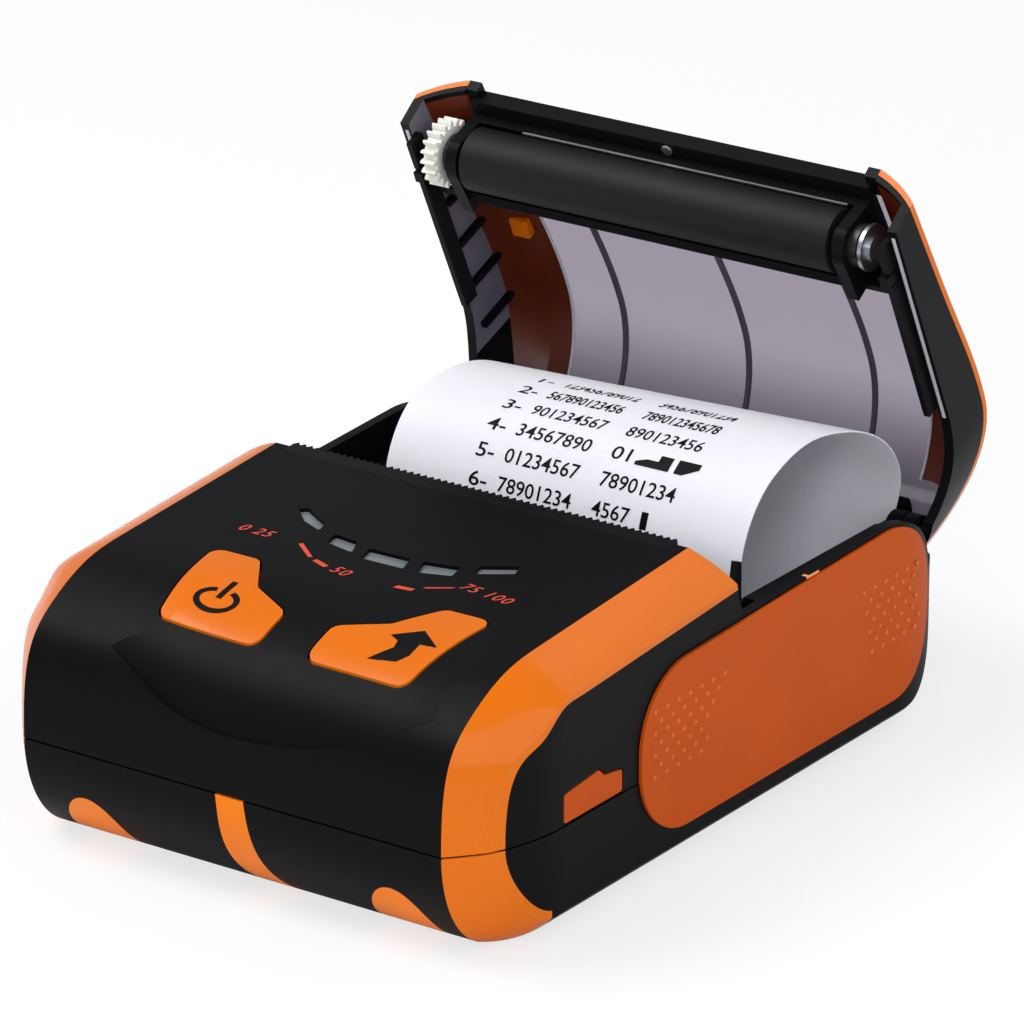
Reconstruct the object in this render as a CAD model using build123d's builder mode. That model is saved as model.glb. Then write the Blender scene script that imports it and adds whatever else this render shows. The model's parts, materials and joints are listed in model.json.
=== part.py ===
from build123d import *
import math
import os

os.makedirs("parts", exist_ok=True)

# Portable receipt printer, in millimetres. X runs across, Y from front to back and Z up.
# The origin is under the middle of the printer, on the plane that its feet stand on.

# Outer form, seen from the side
front_y = -75.5
back_y = 77.0
shell_bottom_z = 0.0
parting_z = 20.8
tear_z = 53.0
brow_y = -46.0
brow_z = 49.7
cheek_y = -57.0
cheek_z = 48.1
shoulder_y = -66.5
shoulder_z = 43.6
nose_length = 16.0
heel_length = 16.0
crown_y = 52.0
crown_z = 60.0
rise_y = 30.0
rise_z = 57.4
lid_back_z = 36.0

# Outer form, seen from above: flat middle, slanted bands, side walls on a large corner radius
crease_x = 45.0
facet_mid_x = 50.2
facet_edge_x = 55.8
side_x = 54.4
corner_radius = 36.0
corner_front_y = -52.7
corner_back_y = 54.2
no_drop = (0.0, 0.0, 0.0, 0.0)
facet_mid_drop = (2.3, 6.0, 1.4, 4.6)
facet_edge_drop = (6.6, 14.0, 6.6, 11.0)

# Walls, trims and gaps
wall = 2.0
trim_thickness = 1.2
facet_wall = 2.4
seam_gap = 0.4
moving_gap = 0.3
panel_proud = 0.6
panel_seat = 1.2
inlay_depth = 1.0
seam_depth = 0.6
seam_height = 0.35

# Rim, where the lid meets the body
step_y = 2.2
step_top_y = -1.2
lid_front_y = 1.4
rim_front_z = 40.9
rim_bend_y = 47.0
rim_bend_z = 42.8
rim_end_y = 69.0
rim_end_z = 29.3
rear_wall_top_z = 27.9

# Hinge
hinge_y = 69.5
hinge_z = 33.5
lid_open_angle = 67.0
hinge_pin_radius = 1.5
hinge_running_gap = 0.05
ear_radius = 3.6
ear_inner_x = 43.2
ear_outer_x = 46.0
ear_front_y = 67.4
ear_rear_y = 72.2
ear_root_y = 74.5
ear_low_z = 22.0
lid_boss_inner_x = 46.4
lid_boss_outer_x = 49.0
hinge_pin_inner_x = 42.9
lid_wall_low_z = 33.9
lid_wall_end_y = 75.0
lid_end_z = 38.0
lid_rear_bar_z = 42.0
lid_front_bar_y = 4.4
lid_front_bar_z = 49.8
lid_front_bar_half = 43.6
front_edge_width = 1.2
lip_height = 2.2
lip_overlap = 1.2
lip_y = ((5.0, 11.2), (14.2, 46.0))
shield_inner_radius = 5.1
shield_thickness = 1.6
shield_low_angle = -50.0
shield_high_angle = 38.0

# Paper roll compartment
roll_y = 47.6
roll_z = 30.0
roll_radius = 25.0
cradle_gap = 0.5
cradle_thickness = 1.5
cradle_wall_x = 41.4
cradle_wall_thickness = 1.4
cradle_wall_top_z = 34.6
cradle_rear_top_z = 26.3
deck_thickness = 1.4
paper_width = 79.5
paper_thickness = 0.25

# Platen roller and its holder, with the lid closed
roller_y = 9.5
roller_z = 43.5
roller_radius = 6.0
roller_length = 80.4
roller_clearance = 0.6
shaft_radius = 2.5
bush_radius = 4.0
bush_inner_x = 41.2
bush_outer_x = 45.3
bracket_inner_x = 41.2
bracket_outer_x = 43.6
shaft_left_x = -49.2
shaft_right_x = 47.4
ring_x = 45.9
ring_thickness = 0.8
ring_radius = 4.4

# Gears: one module, three tooth counts
gear_module = 0.6
platen_teeth = 20
drive_teeth = 28
pinion_teeth = 12
gear_width = 3.0
gear_inner_x = 45.6
gear_backlash = 0.14
gear_centre_gap = 0.1
entry_angle = 260.5

# Print head and steel frame
cheek_inner_x = 44.0
cheek_thickness = 1.0
head_half_width = 42.0
head_face_y = roller_y - roller_radius - moving_gap
ceramic_thickness = 0.8
heat_sink_thickness = 2.4
head_low_z = 35.0
head_high_z = 48.5
spring_radius = 2.0
spring_x = (-26.0, 0.0, 26.0)
frame_back_y = -6.0
frame_foot_z = 12.4
motor_radius = 10.0
motor_length = 17.0

# Boards and battery
board_thickness = 1.6
main_board_z = 20.4
button_board_z = 37.4
battery_size = (70.0, 36.0, 15.0)
battery_y = -38.0
post_radius = 2.6

# Controls
button_gap = 0.4
button_proud = 0.1
button_travel = 0.5
flange_width = 0.9
flange_thickness = 1.0
stem_radius = 1.6
switch_size = 6.0
switch_height = 3.5
plunger_radius = 1.5
plunger_height = 0.8
switch_top_z = button_board_z + board_thickness + switch_height
power_switch_x = -15.0
feed_switch_x = 20.5
switch_y = -55.0
buttons_middle_x = 2.9
led_height = 1.2
led_recess = 0.7

# Front inlays, side panels and the edges of the trims
stripe_half = 3.0
stripe_right = ((0.9, 12.4), (3.4, 4.0), (9.0, -0.6))
stripe_left = ((0.3, 11.9), (1.8, 4.0), (6.4, -0.6))
drop_x = 33.0
drop_half_width = 7.0
drop_height = 11.4
inlay_end = 59.0
panel_corners = ((-30.0, 8.0), (66.0, 8.0), (66.0, 42.6), (-30.0, 39.4))
panel_radius = 14.5
panel_rear_radius = 17.0
lower_trim_end_y = -56.0
rear_trim_start_y = 66.0
rear_trim_top_z = 27.4

# Tear bar
tear_half_width = 42.0
tooth_pitch = 1.5
tooth_depth = 0.8
tear_bar_depth = 3.2
tear_bar_thickness = 0.8
tear_slope = (tear_z - brow_z) / -brow_y

cover_thickness = 1.4

# Gear teeth and small fits
pressure_angle = 20.0
fit_gap = 0.1
seam_clearance = 0.2
rib_thickness = 1.2

# Platen holder and frame, seen from the side
holder_corners = ((4.4, 47.9), (16.4, 39.3), (18.2, 41.0), (18.2, 60.0), (4.4, 60.0))
holder_rear_y = 18.2
bracket_radius = 5.6
hook_corners = ((9.5, 37.9), (19.6, 39.6), (18.2, 46.0), (9.5, 46.0))
web_y = (17.0, 18.2)
web_outer_x = 50.8
web_low_z = 41.6
web_high_z = 50.0
knob_inner_x = 50.2
knob_y = (11.6, 13.8)
knob_low_z = 38.4
knob_step_z = 42.2
knob_high_z = 44.0
frame_cheek_y = (-14.0, 16.0)
frame_cheek_corners = ((-14.0, 12.4), (16.0, 12.4), (16.0, 44.6), (9.5, 47.0), (-14.0, 47.0))
frame_back_low_z = 36.0
frame_back_high_z = 48.5
ceramic_low_z = 38.0
lug_low_z = 39.5
spring_z = 41.0
spring_core_radius = 1.0
spring_turns = 4
spring_wire = 0.4
motor_boss_radius = 2.2
motor_shaft_radius = 0.75
motor_shaft_depth = 3.0
gear_pin_radius = 1.4
gear_pin_head_radius = 2.4
gear_pin_head = 0.6
sensor_x = (12.0, 18.0)
sensor_y = (7.0, 14.0)
sensor_top_z = 20.0
sensor_border = 1.0

# Lid ribs
lid_rib_y = (24.0, 34.0, 44.0, 54.0)
lid_rib_low_z = 44.5
window_rib_x = (-28.0, 0.0, 28.0)
window_rib_thickness = 0.9
window_rib_height = 0.8

# Deck, lip and cradle details
deck_front_y = 20.0
deck_rear_y = 64.0
shield_half_x = 43.2
shield_foot_y = (72.9, 76.0)
shield_foot_z = 26.4
shield_step_y = 73.8
shield_step_z = 28.8
cradle_wall_rear_y = 71.5
cradle_rib_x = 30.0
cradle_rib_y = (32.0, 64.0)
cradle_rib_top_z = 9.0

# Board posts, screws and feet
board_post_x = 38.4
board_post_y = (-54.0, -24.0)
frame_post_y = (-11.0, 12.0)
button_board_x = (-36.0, 42.0)
button_board_y = (-66.0, -18.0)
button_post_x = (-33.0, 39.0)
button_post_y = (-60.0, -22.0)
main_board_left = 41.0
main_board_right = 50.0
main_board_y = (-58.0, -20.0)
chips = ((-18.0, -46.0, 12.0, 12.0, 1.4), (4.0, -44.0, 9.0, 7.0, 1.2), (20.0, -34.0, 6.0, 6.0, 2.5),
         (-30.0, -30.0, 7.0, 5.0, 3.0), (32.0, -48.0, 5.0, 4.0, 1.0), (-6.0, -30.0, 14.0, 5.0, 4.0))
shank_radius = 1.2
head_radius = 2.4
head_height = 1.6
case_screw_x = 49.2
case_screw_y = (-16.0, 40.0)
case_post_radius = 3.4
case_screw_seat_z = 5.0
case_screw_reach = 6.0
feet = ((-46.0, 41.0), (52.0, 38.0))
foot_radius = 3.4
foot_seat_z = 1.2

# Battery door
cover_half_x = 37.0
cover_y = (-57.4, -12.6)
cover_plate = 1.6
cover_rib_x = 20.0
cover_screw_x = 30.0
cover_screw_y = (-16.0,)
cover_screw_top_z = 8.0
cover_head_radius = 2.2
cover_head_depth = 0.8
slot_width = 0.6
slot_top_z = 0.5
battery_z = 3.2
battery_corner = 3.0
battery_hole_half = 35.4
battery_hole_y = (-56.3, -19.7)
contact_wall_y = -18.6
contact_wall_half = 12.0
contact_wall_top_z = 16.0
contact_x = (-6.0, 0.0, 6.0)
contact_half = 1.0
contact_low_z = 8.0
contact_high_z = 14.0

# Dish around the buttons: its ends in side view, and its depth across
dish_rear_y = -34.0
dish_rear_z = 50.6
dish_sections = ((-33.0, -1.5, -71.5, 41.0), (-22.0, 0.1, -71.6, 37.2), (-12.0, 0.7, -73.4, 33.0),
                 (3.0, 0.9, -74.0, 31.5), (22.0, 0.8, -72.8, 34.8), (34.0, 0.5, -70.0, 39.8),
                 (45.0, -1.2, -68.8, 43.2))

# Outlines of the buttons and the light windows, seen from above
button_corners = ((-27.2, -43.0), (-17.2, -43.0), (-11.5, -51.3), (-2.3, -55.6), (-2.3, -64.0),
                  (-23.6, -64.3))
button_corner_radius = 2.3
led_corners = (
    ((-24.2, -22.3), (-22.9, -21.2), (-16.4, -24.9), (-15.6, -27.8), (-20.3, -25.9)),
    ((-12.2, -27.6), (-7.0, -28.2), (-5.1, -32.3), (-11.6, -31.1)),
    ((-3.4, -29.4), (5.3, -29.2), (6.6, -33.2), (-2.5, -33.4)),
    ((8.0, -29.0), (15.0, -27.7), (15.8, -31.4), (9.5, -33.3)),
    ((17.7, -25.6), (23.9, -22.2), (24.9, -25.2), (18.5, -28.9)),
)
led_corner_radius = 0.35
led_size = 2.4

# Ports on the right, in side view
cover_corners = ((-52.6, 21.1), (-52.6, 26.4), (-42.1, 27.4), (-40.6, 25.9), (-35.2, 25.1), (-35.2, 21.1))
cover_corner_radius = 0.5
port_hole_y = (-51.4, -36.8)
port_hole_z = (21.8, 25.0)
usb_y = (-51.0, -43.0)
usb_height = 3.2
usb_slot = 1.8
jack_y = (-41.6, -37.2)
jack_height = 3.4
jack_slot = 1.8
port_length = 6.0
port_face_x = 52.2
port_wall = 0.8

# Edges of the paper loop: how far each place leans to the right, Y and Z
paper_right = (
    (0, 25.2, 24.0), (0, 23.8, 32.0), (0, 24.1, 40.8), (0.1, 27.1, 47.8), (0.2, 31.3, 52.3),
    (0.4, 37.7, 55.6), (0.7, 44.3, 57.2), (1.6, 54.3, 56.4), (3.0, 66.3, 51.2), (3.1, 72.2, 42.4),
    (1.1, 72.2, 32.0), (0.1, 69.0, 20.0), (0, 60.0, 9.4), (0, 47.6, 5.8), (0, 33.0, 10.6),
)
paper_left = (
    (0, 26.0, 24.0), (0, 24.9, 32.0), (0, 25.5, 40.7), (0.1, 28.4, 47.3), (0.2, 33.5, 52.1),
    (0.4, 39.2, 53.9), (0.7, 44.0, 54.6), (1.4, 52.5, 53.9), (2.6, 63.5, 49.0), (2.5, 71.2, 40.0),
    (0.9, 71.6, 32.0), (0, 68.6, 20.4), (0, 60.0, 10.2), (0, 47.6, 6.6), (0, 33.6, 11.2),
)

# Size of the tool bodies that cut zones out of the form
far = 100.0


def grow(drop, inset):
    return tuple(value + inset for value in drop)


def side_profile(top, front, bottom, back):
    """Closed side outline of the printer, moved inwards by four drops."""
    tear = (0, tear_z - top)
    brow = (brow_y, brow_z - top)
    cheek = (cheek_y + 0.25 * front, cheek_z - 0.95 * top)
    shoulder = (shoulder_y + 0.7 * front, shoulder_z - 0.8 * top)
    nose = (front_y + front, parting_z)
    floor_z = shell_bottom_z + bottom
    nose_half = nose_length - 0.6 * front
    heel_half = heel_length - 0.6 * back
    brow_slope = (tear_z - brow_z) / brow_y
    rise_slope = (rise_z - tear_z) / rise_y
    with BuildSketch() as profile:
        with BuildLine():
            Line(tear, brow)
            Spline(brow, cheek, shoulder, nose, tangents=[(-1, brow_slope), (0, -1)])
            chin = EllipticalCenterArc((nose[0] + nose_half, parting_z), nose_half, parting_z - floor_z,
                                       180, arc_size=90)
            heel = EllipticalCenterArc(
                (back_y - back - heel_half, parting_z), heel_half, parting_z - floor_z, 270, arc_size=90
            )
            Line(chin @ 1, heel @ 0)
            Line(heel @ 1, (back_y - back, lid_back_z))
            rear = EllipticalCenterArc(
                (crown_y, lid_back_z), back_y - crown_y - back, crown_z - lid_back_z - top, 0, arc_size=90
            )
            Spline(rear @ 1, (rise_y, rise_z - top), tear, tangents=[(-1, 0), (-1, -rise_slope)])
        make_face()
    return profile.sketch


def plan_outline(inset):
    """Rounded outline from above that cuts the side walls."""
    reach = corner_radius - inset
    with BuildSketch() as outline:
        with Locations((0, (corner_front_y + corner_back_y) / 2)):
            RectangleRounded(2 * (side_x - inset), corner_back_y - corner_front_y + 2 * reach, reach)
    return outline.sketch


def middle(inset):
    """Flat-sided middle of the form, between the two creases."""
    with BuildPart() as form:
        with BuildSketch(Plane.YZ.offset(-crease_x)):
            add(side_profile(*grow(no_drop, inset)))
        extrude(amount=2 * crease_x)
    return form.part


def facets(inset):
    """The two crowned flanks, from each crease outwards."""
    with BuildPart() as form:
        for side in (-1, 1):
            for x, drop in ((crease_x, no_drop), (facet_mid_x, facet_mid_drop),
                            (facet_edge_x, facet_edge_drop)):
                with BuildSketch(Plane.YZ.offset(side * x)):
                    add(side_profile(*grow(drop, inset)))
            loft()
    return form.part


def column(sketch, low, high):
    """Upright prism of a plan sketch between two heights."""
    with BuildPart() as form:
        with BuildSketch(Plane.XY.offset(low)):
            add(sketch)
        extrude(amount=high - low)
    return form.part


def envelope(inset, facet_inset, side_inset):
    """Closed outer form of the printer with its lid down, shrunk by three insets."""
    with BuildPart() as form:
        add(middle(inset))
        add(facets(facet_inset))
        add(column(plan_outline(side_inset), -far, far), mode=Mode.INTERSECT)
    return form.part


def block(low, high):
    """Box between two corners."""
    size = [b - a for a, b in zip(low, high)]
    with BuildPart() as form:
        with Locations(tuple((a + b) / 2 for a, b in zip(low, high))):
            Box(*size)
    return form.part


def side_prism(sketch, low_x, high_x):
    """Prism of a side-view sketch between two places along X."""
    with BuildPart() as form:
        with BuildSketch(Plane.YZ.offset(low_x)):
            add(sketch)
        extrude(amount=high_x - low_x)
    return form.part


def rod(y, z, radius, low_x, high_x):
    """Cylinder along X."""
    with BuildPart() as form:
        with BuildSketch(Plane.YZ.offset(low_x)):
            with Locations((y, z)):
                Circle(radius)
        extrude(amount=high_x - low_x)
    return form.part


def rim_edge(gap):
    """Rim line and its rear arc, raised by a gap."""
    slope = (rim_bend_z - rim_front_z) / (rim_bend_y - step_y)
    with BuildLine() as edge:
        Line((-far, rim_front_z + gap), (step_y, rim_front_z + gap))
        rise = Line((step_y, rim_front_z + gap), (rim_bend_y, rim_bend_z + gap))
        TangentArc(rise @ 1, (rim_end_y + gap, rim_end_z), tangent=(1, slope))
    return edge.line


def front_joint(gap):
    """Slanted joint at the front of the lid's flanks, in side view from the rim upwards."""
    lean = (step_top_y - step_y) / (tear_z - rim_front_z)
    return [(step_y + gap + lean * (z - rim_front_z), z) for z in (rim_front_z, far)]


def above_rim():
    """Zone that the body leaves free for the lid."""
    with BuildSketch() as zone:
        with BuildLine():
            add(rim_edge(0).edges().sort_by(Axis.X)[1:])
            Polyline(
                (rim_end_y, rim_end_z), (rim_end_y, rear_wall_top_z), (far, rear_wall_top_z),
                (far, far), *reversed(front_joint(0))
            )
        make_face()
    return side_prism(zone.sketch, -far, far)


def lid_zone():
    """Zone that the lid's shell fills when it is closed."""
    with BuildSketch() as zone:
        with BuildLine():
            add(rim_edge(seam_gap).edges())
            Polyline(
                (rim_end_y + seam_gap, rim_end_z), (far, rim_end_z), (far, far),
                (-far, far), (-far, rim_front_z + seam_gap)
            )
        make_face()
        with BuildLine():
            Polyline(*front_joint(seam_gap), (-2 * far, far), (-2 * far, rim_front_z), close=True)
        make_face(mode=Mode.SUBTRACT)
        with Locations((lid_wall_end_y - far / 2, lid_wall_low_z - far / 2)):
            Rectangle(far, far, mode=Mode.SUBTRACT)
        with Locations((far / 2 + hinge_y, lid_end_z - far / 2)):
            Rectangle(far, far, mode=Mode.SUBTRACT)
        with BuildLine():
            Polyline(
                (hinge_y, lid_wall_low_z), (lid_wall_end_y, lid_wall_low_z), (lid_wall_end_y, lid_end_z),
                (hinge_y, lid_end_z), close=True
            )
        make_face()
    tear_bar_half = tear_half_width + seam_gap
    behind_tear_bar = block((-tear_bar_half, -far, -far), (tear_bar_half, lid_front_y, far))
    return side_prism(zone.sketch, -far, far) - behind_tear_bar


def hinge_disc(radius, low_x, high_x):
    return rod(hinge_y, hinge_z, radius, low_x, high_x)


def finish(builder, label):
    builder.part.label = label
    export_step(builder.part, f"parts/{label}.step")


def finish_lid(builder, label):
    """Swings a piece of the closed lid open and writes it."""
    opened = builder.part.rotate(Axis((0, hinge_y, hinge_z), (1, 0, 0)), -lid_open_angle)
    opened.label = label
    export_step(opened, f"parts/{label}.step")


# Common forms
outer_form = envelope(0, 0, 0)
inner_form = envelope(wall, facet_wall, wall)
flank_layer = column(plan_outline(0), -far, far) & facets(0)
band_ring = flank_layer - facets(trim_thickness)
skin = outer_form - inner_form
lid_free_zone = above_rim()
lid_shell_zone = lid_zone()


def side_share(part, low_x, high_x):
    """The share of a form between two places along X."""
    return part & block((low_x, -far, -far), (high_x, far, far))


def post(x, y, radius, low_z, high_z):
    """Upright cylinder."""
    with BuildPart() as form:
        with Locations((x, y, (low_z + high_z) / 2)):
            Cylinder(radius, high_z - low_z)
    return form.part


def rounded(points, radius):
    """Closed outline through corner points, every corner rounded."""
    with BuildSketch() as outline:
        with BuildLine():
            Polyline(*points, close=True)
        make_face()
        fillet(outline.vertices(), radius)
    return outline.sketch


def widened(outline, amount):
    """An outline grown by an even margin."""
    with BuildSketch() as larger:
        add(outline)
        offset(amount=amount)
    return larger.sketch


def involute(angle):
    return math.tan(angle) - angle


def gear_outline(teeth, first_angle):
    """Outline of a spur gear with a tooth centred on the first angle."""
    pitch_radius = gear_module * teeth / 2
    base_radius = pitch_radius * math.cos(math.radians(pressure_angle))
    root_radius = pitch_radius - 1.2 * gear_module
    tip_radius = pitch_radius + 0.9 * gear_module
    half_tooth = math.pi / 2 / teeth - gear_backlash / 2 / pitch_radius
    half_pitch = half_tooth + involute(math.radians(pressure_angle))
    points = []
    for tooth in range(teeth):
        centre = math.radians(first_angle) + 2 * math.pi * tooth / teeth
        flank = []
        for radius in (root_radius, max(base_radius, root_radius), pitch_radius, tip_radius):
            roll = math.acos(min(1.0, base_radius / radius))
            flank.append((radius, half_pitch - involute(roll)))
        for radius, half in flank:
            points.append((radius * math.cos(centre - half), radius * math.sin(centre - half)))
        for radius, half in reversed(flank):
            points.append((radius * math.cos(centre + half), radius * math.sin(centre + half)))
    with BuildSketch() as outline:
        with BuildLine():
            Polyline(*points, close=True)
        make_face()
    return outline.sketch


def gear(teeth, first_angle, y, z, bore):
    """Spur gear on the left side of the printer."""
    with BuildPart() as form:
        with BuildSketch(Plane.YZ.offset(-gear_inner_x - gear_width)):
            with Locations((y, z)):
                add(gear_outline(teeth, first_angle))
                Circle(bore, mode=Mode.SUBTRACT)
        extrude(amount=gear_width)
    return form.part


# Places of the gear train, from the closed platen downwards
drive_distance = gear_module * (platen_teeth + drive_teeth) / 2 + gear_centre_gap
drive_y = roller_y + drive_distance * math.cos(math.radians(entry_angle))
drive_z = roller_z + drive_distance * math.sin(math.radians(entry_angle))
drive_tooth_angle = entry_angle - 180
pinion_angle = drive_tooth_angle + 9.5 * 360 / drive_teeth
pinion_distance = gear_module * (drive_teeth + pinion_teeth) / 2 + gear_centre_gap
pinion_y = drive_y + pinion_distance * math.cos(math.radians(pinion_angle))
pinion_z = drive_z + pinion_distance * math.sin(math.radians(pinion_angle))

# Trims that wrap the slanted flanks
upper_trims = (band_ring & block((-far, -far, parting_z), (far, step_y, far))) - lid_free_zone
lower_trims = band_ring & block((-far, -far, -far), (far, lower_trim_end_y, parting_z - seam_height))
rear_trims = band_ring & block((-far, rear_trim_start_y, parting_z), (far, far, rear_trim_top_z))
lid_bands = band_ring & lid_shell_zone

# Fine groove where the two halves of the casing meet
groove_floor = envelope(seam_depth, seam_depth, seam_depth)
seam_groove = (outer_form - groove_floor) & block((-far, -far, parting_z - seam_height),
                                                  (far, far, parting_z))

# Inlays in the front of the lower shell
front_layer = middle(0) - middle(inlay_depth)
with BuildPart() as stripe_zone:
    with BuildSketch(Plane.XZ.offset(inlay_end)):
        with BuildLine():
            top = Line((-stripe_half, parting_z), (stripe_half, parting_z))
            right = Spline(top @ 1, *[(stripe_half + shift, z) for shift, z in stripe_right])
            left = Spline(top @ 0, *[(shift - stripe_half, z) for shift, z in stripe_left])
            Line(left @ 1, right @ 1)
        make_face()
    extrude(amount=far)
stripe_form = (front_layer & stripe_zone.part) - seam_groove
with BuildPart() as drop_zone:
    with BuildSketch(Plane.XZ.offset(inlay_end)):
        with Locations((-drop_x, 0), (drop_x, 0)):
            Ellipse(drop_half_width, drop_height)
    extrude(amount=far)
drop_form = front_layer & drop_zone.part

# Side panels
with BuildSketch() as panel_outline:
    with BuildLine():
        Polyline(*panel_corners, close=True)
    make_face()
    rear_corners = panel_outline.vertices().sort_by(Axis.X)[-2:]
    rear_top = rear_corners.sort_by(Axis.Y)[-1]
    fillet(rear_top, panel_rear_radius)
    low_corners = panel_outline.vertices().sort_by(Axis.Y)[:2]
    front_top = panel_outline.vertices().sort_by(Axis.X)[:2].sort_by(Axis.Y)[-1]
    fillet([*low_corners, front_top], panel_radius)
panel_prism = side_prism(panel_outline.sketch, -far, far)
panel_form = panel_prism & (column(plan_outline(-panel_proud), 0,
                                   far) - column(plan_outline(panel_seat), 0, far))

# Soft dish in the top panel around the buttons
with BuildPart() as dish:
    for x, depth, end_y, end_z in dish_sections:
        with BuildSketch(Plane.YZ.offset(x)):
            with BuildLine():
                floor_curve = Spline(
                    (dish_rear_y, dish_rear_z), (cheek_y, cheek_z - depth),
                    (shoulder_y + 0.7 * depth, shoulder_z - 0.7 * depth), (end_y, end_z)
                )
                Polyline(floor_curve @ 1, (-far, end_z), (-far, far), (dish_rear_y, far), floor_curve @ 0)
            make_face()
    loft()

# Outlines of the two buttons and the light windows, seen from above
power_outline = rounded(button_corners, button_corner_radius)
feed_outline = rounded([(2 * buttons_middle_x - x, y) for x, y in button_corners], button_corner_radius)
led_outlines = [rounded(corners, led_corner_radius) for corners in led_corners]

# Port cover outline, seen from the right
cover_outline = rounded(cover_corners, cover_corner_radius)
cover_layer = column(plan_outline(0), 0, far) - column(plan_outline(cover_thickness), 0, far)


with BuildPart() as bottom_shell:
    add(skin & block((-far, -far, -far), (far, far, parting_z)))
    add(seam_groove, mode=Mode.SUBTRACT)
    add(lower_trims, mode=Mode.SUBTRACT)
    add(stripe_form, mode=Mode.SUBTRACT)
    add(drop_form, mode=Mode.SUBTRACT)
    add(panel_form, mode=Mode.SUBTRACT)
    # Posts for the boards, the steel frame and the case screws
    for x in (-board_post_x, board_post_x):
        for y in board_post_y:
            add(post(x, y, post_radius, shell_bottom_z + wall, main_board_z))
        for y in frame_post_y:
            add(post(x, y, post_radius, shell_bottom_z + wall, frame_foot_z))
        for y in cover_screw_y:
            add(post(math.copysign(cover_screw_x, x), y, post_radius, shell_bottom_z + wall,
                     cover_screw_top_z))
        for y in case_screw_y:
            add(post(math.copysign(case_screw_x, x), y, case_post_radius, shell_bottom_z,
                     parting_z) & outer_form)
    # Ribs that carry the paper cradle
    for x in (-cradle_rib_x, cradle_rib_x):
        add(block((x - rib_thickness / 2, cradle_rib_y[0], shell_bottom_z + wall),
                  (x + rib_thickness / 2, cradle_rib_y[1], cradle_rib_top_z)))
    add(rod(roll_y, roll_z, roll_radius + cradle_gap + cradle_thickness, -cradle_wall_x, cradle_wall_x),
        mode=Mode.SUBTRACT)
    # Wall behind the battery contacts
    add(block((-contact_wall_half, contact_wall_y, shell_bottom_z + wall),
              (contact_wall_half, contact_wall_y + rib_thickness, contact_wall_top_z)))
    # Battery opening with its ledge, screw holes and seats of the feet
    add(block((-cover_half_x - seam_clearance, cover_y[0] - seam_clearance, -far),
              (cover_half_x + seam_clearance, cover_y[1] + seam_clearance,
               shell_bottom_z + cover_plate)), mode=Mode.SUBTRACT)
    add(block((-battery_hole_half, battery_hole_y[0], -far),
              (battery_hole_half, battery_hole_y[1], shell_bottom_z + wall)),
        mode=Mode.SUBTRACT)
    for x in (-1, 1):
        for y in cover_screw_y:
            add(post(x * cover_screw_x, y, shank_radius, -fit_gap, cover_screw_top_z - rib_thickness),
                mode=Mode.SUBTRACT)
        for y in case_screw_y:
            add(post(x * case_screw_x, y, shank_radius + fit_gap, -fit_gap, parting_z), mode=Mode.SUBTRACT)
            add(post(x * case_screw_x, y, head_radius + fit_gap, -fit_gap, case_screw_seat_z),
                mode=Mode.SUBTRACT)
        for y, foot_x in feet:
            add(post(x * foot_x, y, foot_radius, -fit_gap, foot_seat_z), mode=Mode.SUBTRACT)
finish(bottom_shell, "bottom_shell")

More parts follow.
